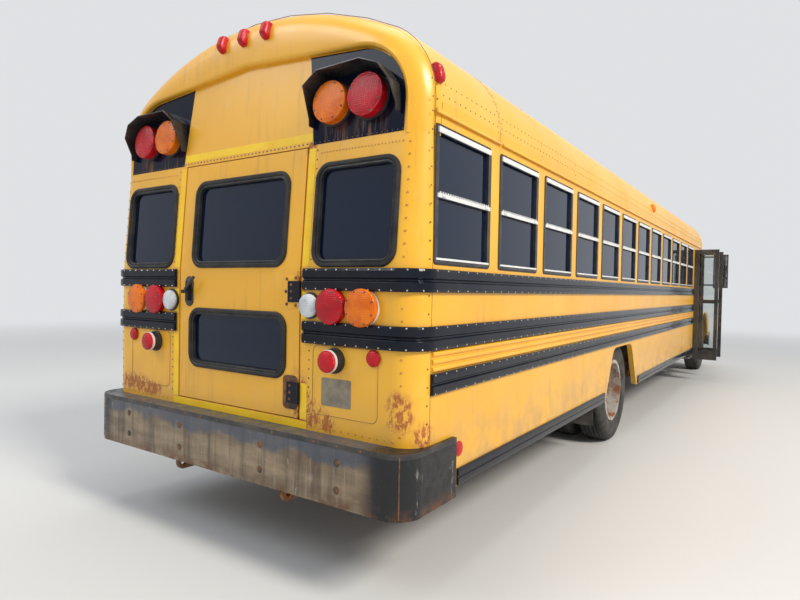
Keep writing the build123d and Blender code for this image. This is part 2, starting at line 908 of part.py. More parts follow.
def rim(y, middle, side, dish):
    """A steel disc rim: barrel, disc set over by dish, hand holes and hub cap."""
    axle = Plane(origin=(0, y, tyre_radius), x_dir=(1, 0, 0), z_dir=(0, -1, 0))
    disc = middle + side * dish
    with BuildPart() as made:
        with BuildSketch(axle):
            with BuildLine():
                lip = tyre_half * bead
                lip_out = lip + 8.0
                Polyline(
                    (middle - lip_out, rim_radius - 12.0),
                    (middle - lip_out, rim_radius + bead_high),
                    (middle - lip, rim_radius + bead_high),
                    (middle - lip, rim_radius),
                    (middle + lip, rim_radius),
                    (middle + lip, rim_radius + bead_high),
                    (middle + lip_out, rim_radius + bead_high),
                    (middle + lip_out, rim_radius - 12.0),
                    close=True,
                )
            make_face()
            with BuildLine():
                Polyline(
                    (disc - 6.0, hub_radius - 20.0),
                    (disc - 6.0, 175.0),
                    (disc - 6.0 - side * 45.0, rim_radius - 6.0),
                    (disc + 6.0 - side * 45.0, rim_radius - 6.0),
                    (disc + 6.0, 175.0),
                    (disc + 6.0, hub_radius - 20.0),
                    close=True,
                )
            make_face()
        revolve(axis=Axis((0, y, tyre_radius), (1, 0, 0)))
        with BuildSketch(Plane(origin=(disc - side * 90.0, y, tyre_radius), x_dir=(0, 1, 0),
                               z_dir=(side, 0, 0))):
            with PolarLocations(215.0, 5):
                Circle(28.0)
        extrude(amount=160.0, mode=Mode.SUBTRACT)
        with BuildSketch(Plane(origin=(disc - side * hub_seat, y, tyre_radius), x_dir=(0, 1, 0),
                               z_dir=(side, 0, 0))):
            Circle(hub_radius)
        extrude(amount=80.0, taper=8.0)
        with BuildSketch(Plane(origin=(disc, y, tyre_radius), x_dir=(0, 1, 0),
                               z_dir=(side, 0, 0))):
            with PolarLocations(143.0, 10):
                Circle(13.0)
        extrude(amount=26.0)
    return made


for side, hand in ((-1, "left"), (1, "right")):
    keep(tyre(front_axle_y, [side * front_track_half]), f"tyre_front_{hand}")
    keep(rim(front_axle_y, side * front_track_half, side, rim_dish), f"rim_front_{hand}")
    outer = side * dual_outer_x
    inner = side * (dual_outer_x - dual_spread)
    keep(tyre(rear_axle_y, [outer, inner]), f"tyres_rear_{hand}")
    with BuildPart() as dual_rims:
        add(rim(rear_axle_y, outer, side, -70.0).part)
        add(rim(rear_axle_y, inner, -side, -70.0).part)
        with BuildSketch(Plane(origin=(inner, rear_axle_y, tyre_radius), x_dir=(0, 1, 0),
                               z_dir=(side, 0, 0))):
            Circle(78.0)
        extrude(amount=dual_spread + 10.0)
    keep(dual_rims, f"rims_rear_{hand}")

# Steering knuckles: an upright on the kingpin and a stub that carries the hub
for side, hand in ((-1, "left"), (1, "right")):
    with BuildPart() as knuckle:
        with Locations((side * kingpin_x, front_axle_y, tyre_radius)):
            Cylinder(48.0, 2 * kingpin_half)
        stub_end = front_track_half + rim_dish - hub_seat - fit
        ends = sorted((side * (kingpin_x - 10.0), side * stub_end))
        with BuildSketch(on_x(ends[0])):
            with Locations((front_axle_y, tyre_radius)):
                Circle(42.0)
        extrude(amount=ends[1] - ends[0])
    keep(knuckle, f"knuckle_{hand}")

# Front axle: an I-beam that drops between the springs and forks at the kingpins
with BuildPart() as front_axle:
    eye = kingpin_x - 60.0
    block((-eye, front_axle_y - 45.0, 395.0), (eye, front_axle_y + 45.0, 480.0))
    for side in (-1, 1):
        ends = sorted((side * (eye - 70.0), side * (kingpin_x - 56.0)))
        block((ends[0], front_axle_y - 45.0, 395.0), (ends[1], front_axle_y + 45.0, 640.0))
        ends = sorted((side * (eye - 70.0), side * (kingpin_x + 40.0)))
        fork = kingpin_half + fit
        block((ends[0], front_axle_y - 40.0, tyre_radius + fork),
              (ends[1], front_axle_y + 40.0, tyre_radius + 180.0))
        block((ends[0], front_axle_y - 40.0, tyre_radius - 180.0),
              (ends[1], front_axle_y + 40.0, tyre_radius - fork))
        ends = sorted((side * (eye - 70.0), side * (eye - 2.0)))
        block((ends[0], front_axle_y - 40.0, 320.0), (ends[1], front_axle_y + 40.0, 400.0))
keep(front_axle, "front_axle")

# Rear axle housing with its differential, and the drive shaft ahead of it
shaft_front = front_axle_y - 1500.0
axle_radius = 58.0
with BuildPart() as rear_axle:
    reach = dual_outer_x - dual_spread - fit
    with BuildSketch(on_x(-reach)):
        with Locations((rear_axle_y, tyre_radius)):
            Circle(axle_radius)
    extrude(amount=2 * reach)
    for side in (-1, 1):
        x = side * (frame_x + 50.0)
        block((x - 38.0, rear_axle_y - 50.0, tyre_radius),
              (x + 38.0, rear_axle_y + 50.0, tyre_radius + axle_radius + 4.0))
    with Locations((0, rear_axle_y, tyre_radius)):
        Sphere(190.0)
    with BuildSketch(on_y(rear_axle_y)):
        with Locations((0, tyre_radius)):
            Circle(48.0)
    extrude(amount=-(shaft_front - rear_axle_y))
keep(rear_axle, "rear_axle")

# Leaf springs: three stacked leaves over each axle, hung from the frame rails
leaf_thin = 16.0
with BuildPart() as leaf_springs:
    for side in (-1, 1):
        for y, seat in ((rear_axle_y, tyre_radius + axle_radius + 4.0), (front_axle_y, 480.0)):
            x = side * (frame_x + 50.0)
            for i, half in enumerate((640.0, 460.0, 280.0)):
                high = seat + leaf_thin * (3 - i)
                block((x - 38.0, y - half, high - leaf_thin), (x + 38.0, y + half, high))
            for end in (-1, 1):
                mid = y + end * 600.0
                block((x - 38.0, mid - 40.0, seat + 3 * leaf_thin - 5.0),
                      (x + 38.0, mid + 40.0, frame_high - 60.0))
                ends = sorted((side * frame_x, x))
                block((ends[0], mid - 40.0, frame_low + 60.0),
                      (ends[1], mid + 40.0, frame_high - 60.0))
keep(leaf_springs, "leaf_springs")

# Fuel tank between the rails and the skirt, curb side, and the exhaust on the other
tank_y = rear_axle_y + 2300.0
with BuildPart() as fuel_tank:
    block((frame_x, tank_y - 700.0, 430.0), (frame_x + 600.0, tank_y + 700.0, 790.0))
    fillet(fuel_tank.edges().filter_by(Axis.Y), 60.0)
keep(fuel_tank, "fuel_tank")

pipe_radius = 48.0
pipe_x = -(frame_x + 130.0)
pipe_z = 470.0
pipe_rear = rear_axle_y + 1500.0
muffler_radius = 120.0
strap_half = 20.0
with BuildPart() as exhaust:
    with BuildSketch(on_y(pipe_rear)):
        with Locations((pipe_x, pipe_z)):
            Circle(pipe_radius)
    extrude(amount=-(front - 400.0 - pipe_rear))
    with BuildSketch(on_y(pipe_rear + 400.0)):
        with Locations((pipe_x, pipe_z)):
            Circle(muffler_radius)
    extrude(amount=-1100.0)
    with BuildSketch(on_x(-half_width + 20.0)):
        with Locations((pipe_rear, pipe_z - 45.0)):
            Circle(pipe_radius)
    extrude(amount=half_width - 20.0 + pipe_x)
    for y in (pipe_rear + 150.0, pipe_rear + 1700.0, front - 600.0):
        block((pipe_x - 12.0, y - strap_half, pipe_z), (pipe_x + 12.0, y + strap_half, frame_low + 80.0))
        block((pipe_x - 12.0, y - strap_half, frame_low + 50.0),
              (-frame_x, y + strap_half, frame_low + 80.0))
keep(exhaust, "exhaust")

# Engine: one plain block on the low cross members, and the radiator on the rails ahead of it
with BuildPart() as engine_block:
    block((-300.0, front + 60.0, engine_seat + fit), (300.0, front_axle_y + 420.0, 1240.0))
    block((-410.0, hood_front - 170.0, frame_high + fit), (410.0, hood_front - 100.0, 1170.0))
keep(engine_block, "engine_block")


# Hood: fenders and a sloping centre, one moulding that tilts forward
def hood_form(inset):
    """The hood's outer form moved in by inset: wide fenders and a narrower bonnet."""
    back = front + hood_gap - (0 if inset == 0 else wall)
    nose = hood_front - inset
    with BuildPart() as form:
        with BuildSketch(on_x(-half_width + 30.0 + inset)):
            with BuildLine():
                FilletPolyline(
                    (back, hood_pivot_z - (0 if inset == 0 else wall)),
                    (back, fender_top - inset),
                    (nose - 330.0, fender_top - inset - 20.0),
                    (nose - 110.0, hood_pivot_z + 260.0),
                    (nose - 110.0, hood_pivot_z - (0 if inset == 0 else wall)),
                    radius=60.0,
                    close=True,
                )
            make_face()
        extrude(amount=2 * (half_width - 30.0 - inset))
        with BuildSketch(on_x(-hood_half + inset)):
            with BuildLine():
                Polyline(
                    (back, grille_low - (0 if inset == 0 else wall)),
                    (back, hood_back_z - inset),
                    (nose - 160.0, hood_front_z - inset),
                    (nose - 20.0, hood_front_z - inset - 120.0),
                    (nose, grille_low - (0 if inset == 0 else wall)),
                    close=True,
                )
            make_face()
        extrude(amount=2 * (hood_half - inset))
        shoulders = form.edges().filter_by(
            lambda edge: edge.center().Z > fender_top + 40.0
            and edge.bounding_box().size.Y > 500.0
            and edge.bounding_box().size.X < 1.0
        )
        fillet(shoulders, 90.0 - inset)
    return form.part


headlamp_x = 600.0
headlamp_z = 980.0
headlamp_radius = 92.0
with BuildPart() as hood_shell:
    add(hood_form(0))
    add(hood_form(hood_skin), mode=Mode.SUBTRACT)
    with BuildSketch(on_x(-half_width)):
        with Locations((front_axle_y, tyre_radius)):
            Circle(front_arch_radius)
    extrude(amount=2 * half_width, mode=Mode.SUBTRACT)
    block((-half_width, front_axle_y - front_arch_radius, 0),
          (half_width, front_axle_y + front_arch_radius, tyre_radius), Mode.SUBTRACT)
    block((-430.0, hood_front - 150.0, grille_low + 40.0),
          (430.0, far, hood_front_z - 190.0), Mode.SUBTRACT)
    block((-frame_x - 25.0, front - far, 0), (frame_x + 25.0, far, frame_high + 25.0), Mode.SUBTRACT)
    for side in (-1, 1):
        with BuildSketch(on_y(hood_front + 20.0)):
            with Locations((side * headlamp_x, headlamp_z)):
                Circle(headlamp_radius + 4.0)
        extrude(amount=150.0, mode=Mode.SUBTRACT)
    for side in (-1, 1):
        ends = sorted((side * hood_lug_x, side * (hood_lug_x + hood_lug_thick)))
        block((ends[0], hood_pivot_y - 35.0, hood_pivot_z - 25.0),
              (ends[1], hood_pivot_y + 8.0, frame_high + 60.0))
keep(hood_shell, "hood_shell")

# Grille: a frame with upright bars, set in the nose opening
with BuildPart() as grille:
    low_z = grille_low + 40.0
    high_z = hood_front_z - 190.0
    block((-430.0 + fit, hood_front - 60.0, low_z + fit), (430.0 - fit, hood_front - 30.0, high_z - fit))
    block((-390.0, hood_front - 70.0, low_z + 40.0), (390.0, hood_front, high_z - 40.0), Mode.SUBTRACT)
    for i in range(9):
        z = low_z + 60.0 + (high_z - low_z - 120.0) * i / 8
        block((-395.0, hood_front - 58.0, z - 8.0), (395.0, hood_front - 38.0, z + 8.0))
keep(grille, "grille")

with BuildPart() as headlamps:
    for side in (-1, 1):
        with BuildSketch(on_y(hood_front - 70.0)):
            with Locations((side * headlamp_x, headlamp_z)):
                Circle(headlamp_radius + 4.0)
        extrude(amount=-60.0)
keep(headlamps, "headlamps")

# Mirrors: an arm and a head on each front corner of the body
mirror_reach = 1640.0
with BuildPart() as mirrors:
    for side in (-1, 1):
        y = front - front_lean - 40.0
        ends = sorted((side * (half_width - 5.0), side * (mirror_reach - 100.0)))
        block((ends[0], y + 60.0, 2150.0), (ends[1], y + 84.0, 2174.0))
        block((ends[0], y + 60.0, 1640.0), (ends[1], y + 84.0, 1664.0))
        ends = sorted((side * (mirror_reach - 230.0), side * mirror_reach))
        block((ends[0], y + 20.0, 1600.0), (ends[1], y + 100.0, 2200.0))
    add(outer_form, mode=Mode.SUBTRACT)
keep(mirrors, "mirrors")

# Rear emergency door, cut from the same wall, with two panes
with BuildPart() as rear_door:
    add(shell.part)
    block((-rear_door_half, -far, rear_door_low), (rear_door_half, rear_seam, rear_door_high),
          Mode.INTERSECT)
    with BuildSketch(upper_rear.offset(wall)):
        pane_sketch(-upper_pane_half, upper_pane_half, upper_pane_low, upper_pane_high)
    extrude(amount=-3 * wall, mode=Mode.SUBTRACT)
    with BuildSketch(lower_rear.offset(wall)):
        with Locations((0, (lower_pane_low + lower_pane_high) / 2)):
            RectangleRounded(2 * lower_pane_half, lower_pane_high - lower_pane_low, pane_radius)
    extrude(amount=-3 * wall, mode=Mode.SUBTRACT)
keep(rear_door, "rear_door")

with BuildPart() as rear_door_glass:
    with BuildSketch(upper_rear.offset(-18.0)):
        pane_sketch(-upper_pane_half, upper_pane_half, upper_pane_low, upper_pane_high)
    extrude(amount=-glass_thick)
    with BuildSketch(lower_rear.offset(-18.0)):
        with Locations((0, (lower_pane_low + lower_pane_high) / 2)):
            RectangleRounded(2 * lower_pane_half, lower_pane_high - lower_pane_low, pane_radius)
    extrude(amount=-glass_thick)
keep(rear_door_glass, "rear_door_glass")

# Door handle on the left and hinge leaves on the right
hinge_places = [1455.0, 930.0]
with BuildPart() as rear_door_fittings:
    block((-425.0, rear - 22.0, 1385.0), (-395.0, rear, 1500.0))
    block((-440.0, rear - 40.0, 1430.0), (-380.0, rear - 20.0, 1450.0))
    for z in hinge_places:
        block((rear_door_half - 75.0, rear - 12.0, z - 55.0),
              (rear_door_pin_x, rear, z + 55.0))
        with Locations((rear_door_pin_x, rear - rear_door_pin_out, z)):
            Cylinder(rear_door_pin_out - fit, 110.0)
keep(rear_door_fittings, "rear_door_fittings")

# Entrance leaves, open at a right angle to the side: an edge frame and two panes each
leaf_wide = doorway_wide / 2 - 10.0
leaf_high = doorway_high - running
leaf_pin_x = half_width + 6.0
leaf_offset = 8.0
leaf_x = leaf_pin_x + leaf_offset


def entrance_leaf(near_y, hand):
    """One leaf standing out from its jamb, with its frame and panes."""
    low_y, high_y = sorted((near_y, near_y + hand * leaf_thick))
    mid_z = 1330.0
    spans = [(leaf_low + 150.0, mid_z), (mid_z + leaf_band, leaf_high - leaf_band)]
    pin_y = near_y - hand * leaf_offset
    with BuildPart() as frame:
        block((leaf_x, low_y, leaf_low), (leaf_x + leaf_wide, high_y, leaf_high))
        with Locations((leaf_pin_x, pin_y, (leaf_low + leaf_high) / 2)):
            Cylinder(leaf_pin_x - half_width - fit, leaf_high - leaf_low)
        web_y = sorted((pin_y, near_y + hand))
        block((leaf_pin_x + 3.0, web_y[0], leaf_low), (leaf_x + 1.0, web_y[1], leaf_high))
        for low_z, high_z in spans:
            block((leaf_x + leaf_band, low_y - 1.0, low_z),
                  (leaf_x + leaf_wide - leaf_band, high_y + 1.0, high_z), Mode.SUBTRACT)
    middle = (low_y + high_y) / 2
    with BuildPart() as panes:
        for low_z, high_z in spans:
            block((leaf_x + leaf_band, middle - 3.0, low_z),
                  (leaf_x + leaf_wide - leaf_band, middle + 3.0, high_z))
    return frame, panes


for name, near_y, hand in (
    ("rear", doorway_rear + running, 1),
    ("front", doorway_front - running, -1),
):
    frame, panes = entrance_leaf(near_y, hand)
    keep(frame, f"entrance_leaf_{name}")
    keep(panes, f"entrance_glass_{name}")

# Stop arm: a blank octagon folded flat against the left side, hinged at its front end
sign_wide = 457.0
sign_y = doorway_rear - 320.0
sign_z = (rails[0][1] + rails[1][2]) / 2
arm_x = -half_width - rail_proud - 26.0
arm_thick = 12.0
arm_half = 58.0
arm_pivot_x = arm_x + arm_thick / 2
arm_pivot_y = sign_y + 267.0
lug_gap = fit
with BuildPart() as stop_arm:
    with BuildSketch(on_x(arm_x)):
        with Locations((sign_y, sign_z)):
            RegularPolygon(sign_wide / 2, 8, major_radius=False, rotation=22.5)
    extrude(amount=-10.0)
    block((arm_x, sign_y - 100.0, sign_z - arm_half), (arm_x + arm_thick, arm_pivot_y, sign_z + arm_half))
    with Locations((arm_pivot_x, arm_pivot_y, sign_z)):
        Cylinder(8.0, 2 * arm_half)
keep(stop_arm, "stop_arm")
with BuildPart() as stop_arm_base:
    base_half = (rails[0][1] - rails[1][2]) / 2 - 3.0
    block((arm_x + arm_thick + 6.0, arm_pivot_y + 14.0, sign_z - base_half),
          (-half_width, arm_pivot_y + 90.0, sign_z + base_half))
    for turn in (-1, 1):
        ends = sorted((sign_z + turn * (arm_half + lug_gap), sign_z + turn * base_half))
        block((arm_pivot_x - 11.0, arm_pivot_y - 11.0, ends[0]),
              (-half_width - rail_proud, arm_pivot_y + 90.0, ends[1]))
keep(stop_arm_base, "stop_arm_base")
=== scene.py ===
"""Looks of the school bus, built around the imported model. Metres, X curb side, Y forward, Z up."""

from math import atan2, cos, degrees, hypot, pi, radians, sin, sqrt, tan

import bpy
import bmesh
from mathutils import Matrix, Vector


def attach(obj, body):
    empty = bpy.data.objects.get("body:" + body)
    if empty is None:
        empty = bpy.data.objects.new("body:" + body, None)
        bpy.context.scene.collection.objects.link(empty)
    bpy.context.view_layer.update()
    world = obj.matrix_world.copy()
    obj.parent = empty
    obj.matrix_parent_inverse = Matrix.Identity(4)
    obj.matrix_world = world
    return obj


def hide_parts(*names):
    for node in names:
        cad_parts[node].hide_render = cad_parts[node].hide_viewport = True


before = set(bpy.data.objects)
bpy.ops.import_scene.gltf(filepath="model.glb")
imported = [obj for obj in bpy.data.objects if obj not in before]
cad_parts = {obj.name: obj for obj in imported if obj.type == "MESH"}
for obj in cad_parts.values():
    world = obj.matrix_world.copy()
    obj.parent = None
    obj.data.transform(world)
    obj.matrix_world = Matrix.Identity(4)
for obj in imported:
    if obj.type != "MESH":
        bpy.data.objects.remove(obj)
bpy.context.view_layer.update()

# Sizes repeated from the model, in metres; ENTRANCE is the rear edge of the doorway
REAR, FRONT = -5.74, 4.21
HALF, ROOF, EAVE, BELT = 1.219, 2.99, 2.365, 1.575
HAUNCH, CORNER = 0.43, 0.13
SLOPE = 0.1 / (ROOF - BELT)
UPPER_OUT = Vector((0, -1, SLOPE)).normalized()
SEAM = REAR + 0.125
PITCH, WINDOW_FIRST, WINDOW_WIDE, WINDOW_COUNT = 0.711, 0.137, 0.58, 12
WINDOW_LOW, WINDOW_HIGH = 1.605, 2.245
HX = HALF - HAUNCH
CROWN = (HX**2 + (ROOF - EAVE) ** 2 - HAUNCH**2) / (2 * (ROOF - EAVE - HAUNCH))
CROWN_Z = ROOF - CROWN
TURN = atan2(EAVE - CROWN_Z, HX)
LIP_LOW, LIP_HALF, LIP_SHOULDER, LIP_CROWN, LIP_BEND = 2.2, 1.102, 2.635, 2.722, 0.3
REAR_AXLE, TYRE_RADIUS = REAR + 3.85, 0.5
FRONT_AXLE = REAR_AXLE + 6.76
ENTRANCE = REAR + 8.74
DRIP_Z, SKIRT_RAIL_Z, ARCH_HALF, RAIL_OUT, RAIL_RIVET_PITCH = 2.305, 0.534, 0.68, 0.018, 0.1016


def lean(z):
    """Depth of the rear plane at height z, measured forward from the lowest part."""
    return max(0.0, z - BELT) * SLOPE


def inward(x, z):
    """Distance of a point of the cross-section inside the body's outline."""
    x = abs(x)
    if z <= EAVE:
        return HALF - x
    if atan2(z - CROWN_Z, x) > TURN:
        return CROWN - hypot(x, z - CROWN_Z)
    return HAUNCH - hypot(x - HX, z - EAVE)


def rear_point(x, z, out=0.0):
    """A point on the rear skin, moved out by out."""
    d = min(max(inward(x, z), 0.0), CORNER)
    return Vector((x, REAR + lean(z) + CORNER - sqrt(CORNER**2 - (CORNER - d) ** 2) - out, z))


def roof_point(turn, y, out=0.0, side=1):
    """A point on the roof at an angle in degrees from level on the side to 90 at the top."""
    a = radians(turn)
    if a <= TURN:
        x, z = HX + (HAUNCH + out) * cos(a), EAVE + (HAUNCH + out) * sin(a)
    else:
        x, z = (CROWN + out) * cos(a), CROWN_Z + (CROWN + out) * sin(a)
    return Vector((side * x, y, z))


# Mesh building


class Shape:
    """Vertices and faces of one piece, put together from simple forms."""

    def __init__(self):
        self.points, self.faces = [], []

    def add(self, points, faces):
        start = len(self.points)
        self.points += [tuple(p) for p in points]
        self.faces += [tuple(start + i for i in f) for f in faces]

    def box(self, low, high):
        (a, b, c), (d, e, f) = low, high
        a, d, b, e, c, f = min(a, d), max(a, d), min(b, e), max(b, e), min(c, f), max(c, f)
        self.add(
            [(a, b, c), (d, b, c), (d, e, c), (a, e, c), (a, b, f), (d, b, f), (d, e, f), (a, e, f)],
            [(3, 2, 1, 0), (4, 5, 6, 7), (0, 1, 5, 4), (1, 2, 6, 5), (2, 3, 7, 6), (3, 0, 4, 7)],
        )

    def rings(self, rings, closed=False):
        """Rings of as many points each, joined in order, with their ends capped unless closed."""
        n, m = len(rings), len(rings[0])
        faces = []
        for i in range(n if closed else n - 1):
            k = (i + 1) % n
            for j in range(m):
                w = (j + 1) % m
                faces.append((i * m + j, i * m + w, k * m + w, k * m + j))
        if not closed:
            faces += [tuple(range(m - 1, -1, -1)), tuple(range((n - 1) * m, n * m))]
        self.add([p for ring in rings for p in ring], faces)

    def sweep(self, path, section, normals, closed=False):
        """A section carried along a path; normals gives the section's up at each point."""
        path = [Vector(p) for p in path]
        n = len(path)
        rings = []
        for i, p in enumerate(path):
            before = path[(i - 1) % n] if closed or i else p
            after = path[(i + 1) % n] if closed or i < n - 1 else p
            along = (after - before).normalized()
            up = Vector(normals[i] if isinstance(normals, list) else normals)
            across = along.cross(up).normalized()
            up = across.cross(along)
            stretch = 1.0
            if (closed or 0 < i < n - 1) and (after - p).length and (p - before).length:
                half = (after - p).normalized().dot((p - before).normalized())
                stretch = 1 / max(0.5, sqrt(max(0.0, (1 + half) / 2)))
            rings.append([p + across * (a * stretch) + up * b for a, b in section])
        self.rings(rings, closed)

    def rod(self, path, radius, up=(0, 0, 1), sides=8, closed=False):
        ring = [(radius * cos(2 * pi * i / sides), radius * sin(2 * pi * i / sides)) for i in range(sides)]
        self.sweep(path, ring, up, closed)

    def lathe(self, profile, origin, axis, sides=16):
        """A profile of (radius, height) turned about an axis."""
        axis, origin = Vector(axis).normalized(), Vector(origin)
        one = axis.orthogonal().normalized()
        two = axis.cross(one)
        turns = [2 * pi * i / sides for i in range(sides)]
        self.rings([[origin + axis * h + (one * cos(a) + two * sin(a)) * r for a in turns]
                    for r, h in profile])

    def rivet(self, origin, axis, radius=0.007, high=0.004, sides=6):
        profile = [(radius, -0.002), (radius, 0.0), (radius * 0.75, high * 0.7), (radius * 0.3, high)]
        self.lathe(profile, origin, axis, sides)

    def prism(self, outline, place, low, high):
        """An outline of flat points; place turns (a, b, height) into a point in space."""
        self.rings([[place(a, b, height) for a, b in outline] for height in (low, high)])

    def grid(self, rows):
        """A sheet through rows of points."""
        h, w = len(rows), len(rows[0])
        self.add([p for row in rows for p in row],
                 [(i * w + j, i * w + j + 1, (i + 1) * w + j + 1, (i + 1) * w + j)
                  for i in range(h - 1) for j in range(w - 1)])

    def make(self, name, paint, body="root", slot=None, bevel=0.0, smooth=35.0):
        mesh = bpy.data.meshes.new(name)
        mesh.from_pydata(self.points, [], self.faces)
        work = bmesh.new()
        work.from_mesh(mesh)
        bmesh.ops.recalc_face_normals(work, faces=work.faces)
        if bevel:
            sharp = [e for e in work.edges if len(e.link_faces) == 2 and e.calc_face_angle(0) > 0.6]
            bmesh.ops.bevel(work, geom=sharp, offset=bevel, segments=2, profile=0.6, affect="EDGES")
        limit = radians(smooth)
        for face in work.faces:
            face.smooth = True
        for edge in work.edges:
            edge.smooth = len(edge.link_faces) == 2 and edge.calc_face_angle(0) < limit
        work.to_mesh(mesh)
        work.free()
        thing = bpy.data.objects.new(name, mesh)
        bpy.context.scene.collection.objects.link(thing)
        mesh.materials.append(PAINTS[paint])
        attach(thing, body)
        return thing


def rounded(low_a, high_a, low_b, high_b, radius, steps=6):
    """A rectangle outline with round corners, as flat points."""
    points = []
    for a, b, start in ((high_a, low_b, -90), (high_a, high_b, 0), (low_a, high_b, 90), (low_a, low_b, 180)):
        ca = a - radius if a == high_a else a + radius
        cb = b - radius if b == high_b else b + radius
        for i in range(steps + 1):
            t = radians(start + 90 * i / steps)
            points.append((ca + radius * cos(t), cb + radius * sin(t)))
    return points


def ordered(side, a, b):
    """Two distances from the middle on one side, the lower coordinate first."""
    return sorted((side * a, side * b))


# Materials
PAINTS = {}


class Paint:
    """One procedural material, kept in PAINTS by name, and short calls to build its nodes."""

    def __init__(self, name):
        self.material = PAINTS[name] = bpy.data.materials.new(name)
        self.material.use_nodes = True
        self.tree = self.material.node_tree
        self.shader = self.tree.nodes["Principled BSDF"]
        self.coords = self.tree.nodes.new("ShaderNodeTexCoord").outputs["Object"]

    def node(self, kind, inputs=(), **facts):
        made = self.tree.nodes.new(kind)
        for key, value in facts.items():
            setattr(made, key, value)
        for key, value in dict(inputs).items():
            self.put(made.inputs[key], value)
        return made

    def put(self, socket, value):
        if isinstance(value, bpy.types.NodeSocket):
            self.tree.links.new(value, socket)
        elif isinstance(value, (tuple, list)) and socket.type == "RGBA" and len(value) == 3:
            socket.default_value = (*value, 1)
        else:
            socket.default_value = value

    def set(self, **values):
        for key, value in values.items():
            self.put(self.shader.inputs[key.replace("_", " ")], value)

    def place(self, scale):
        return self.node("ShaderNodeMapping", {"Vector": self.coords, "Scale": scale}).outputs[0]

    def noise(self, scale, detail=4.0, rough=0.55, stretch=(1, 1, 1)):
        made = self.node("ShaderNodeTexNoise", {
            "Vector": self.place(stretch), "Scale": scale, "Detail": detail, "Roughness": rough})
        return made.outputs["Fac"]

    def cells(self, scale):
        inputs = {"Vector": self.place((1, 1, 1)), "Scale": scale}
        return self.node("ShaderNodeTexVoronoi", inputs).outputs["Distance"]

    def wave(self, scale, direction):
        inputs = {"Vector": self.place((1, 1, 1)), "Scale": scale}
        return self.node("ShaderNodeTexWave", inputs, bands_direction=direction).outputs["Fac"]

    def span(self, value, low, high, to_low=0.0, to_high=1.0):
        return self.node("ShaderNodeMapRange", {
            "Value": value, "From Min": low, "From Max": high, "To Min": to_low, "To Max": to_high},
            interpolation_type="SMOOTHSTEP").outputs[0]

    def sum(self, kind, one, two=0.0):
        made = self.tree.nodes.new("ShaderNodeMath")
        made.operation = kind
        made.use_clamp = kind in ("ADD", "MULTIPLY")
        self.put(made.inputs[0], one)
        self.put(made.inputs[1], two)
        return made.outputs[0]

    def times(self, *values):
        result = values[0]
        for value in values[1:]:
            result = self.sum("MULTIPLY", result, value)
        return result

    def most(self, *values):
        result = values[0]
        for value in values[1:]:
            result = self.sum("MAXIMUM", result, value)
        return result

    def mix(self, factor, one, two, kind="MIX"):
        made = self.tree.nodes.new("ShaderNodeMix")
        made.data_type, made.blend_type = "RGBA", kind
        self.put(made.inputs[0], factor)
        self.put(made.inputs[6], one)
        self.put(made.inputs[7], two)
        return made.outputs[2]

    def axis(self, name):
        made = self.node("ShaderNodeSeparateXYZ", {0: self.coords})
        return made.outputs[name]

    def near(self, centre, reach, stretch):
        """A ragged spot: one at the centre, none beyond reach."""
        moved = self.node("ShaderNodeVectorMath", {0: self.coords, 1: centre}, operation="SUBTRACT")
        shaped = self.node("ShaderNodeVectorMath", {0: moved.outputs[0], 1: stretch}, operation="MULTIPLY")
        far = self.node("ShaderNodeVectorMath", {0: shaped.outputs[0]}, operation="LENGTH").outputs["Value"]
        ragged = self.span(self.noise(44.0, 5.0, 0.7, (1, 1, 0.5)), 0.335, 0.665)
        return self.times(self.span(far, reach, 0.0), ragged)

    def bump(self, *layers):
        """Layers of (height, strength, distance) as one normal."""
        normal = None
        for height, strength, distance in layers:
            inputs = {"Height": height, "Strength": strength, "Distance": distance}
            if normal is not None:
                inputs["Normal"] = normal
            normal = self.node("ShaderNodeBump", inputs).outputs[0]
        self.put(self.shader.inputs["Normal"], normal)


def streaks(p, scale=26.0, low=0.52, high=0.7):
    """Vertical run marks."""
    return p.span(p.noise(scale, 4.0, 0.6, (1, 1, 0.06)), low, high)


# Rust spots of the rear: centre, reach and stretch
RUST_SPOTS = [
    ((-0.98, REAR, 0.835), 0.11, (0.5, 1, 1.5)), ((-0.8, REAR, 0.815), 0.09, (0.6, 1, 1.6)),
    ((0.58, REAR, 0.835), 0.11, (0.8, 1, 1.1)), ((0.7, REAR, 0.8), 0.06, (1, 1, 1)),
    ((1.12, REAR + 0.02, 0.9), 0.1, (1.2, 1, 0.8)), ((1.2, REAR + 0.1, 0.8), 0.08, (1, 1, 1)),
    ((0.49, REAR, 0.92), 0.12, (1.2, 1, 0.8)), ((0.52, REAR, 1.5), 0.07, (1, 1, 0.8)),
    ((0.53, REAR + 0.03, 2.2), 0.05, (1, 1, 1)),
]


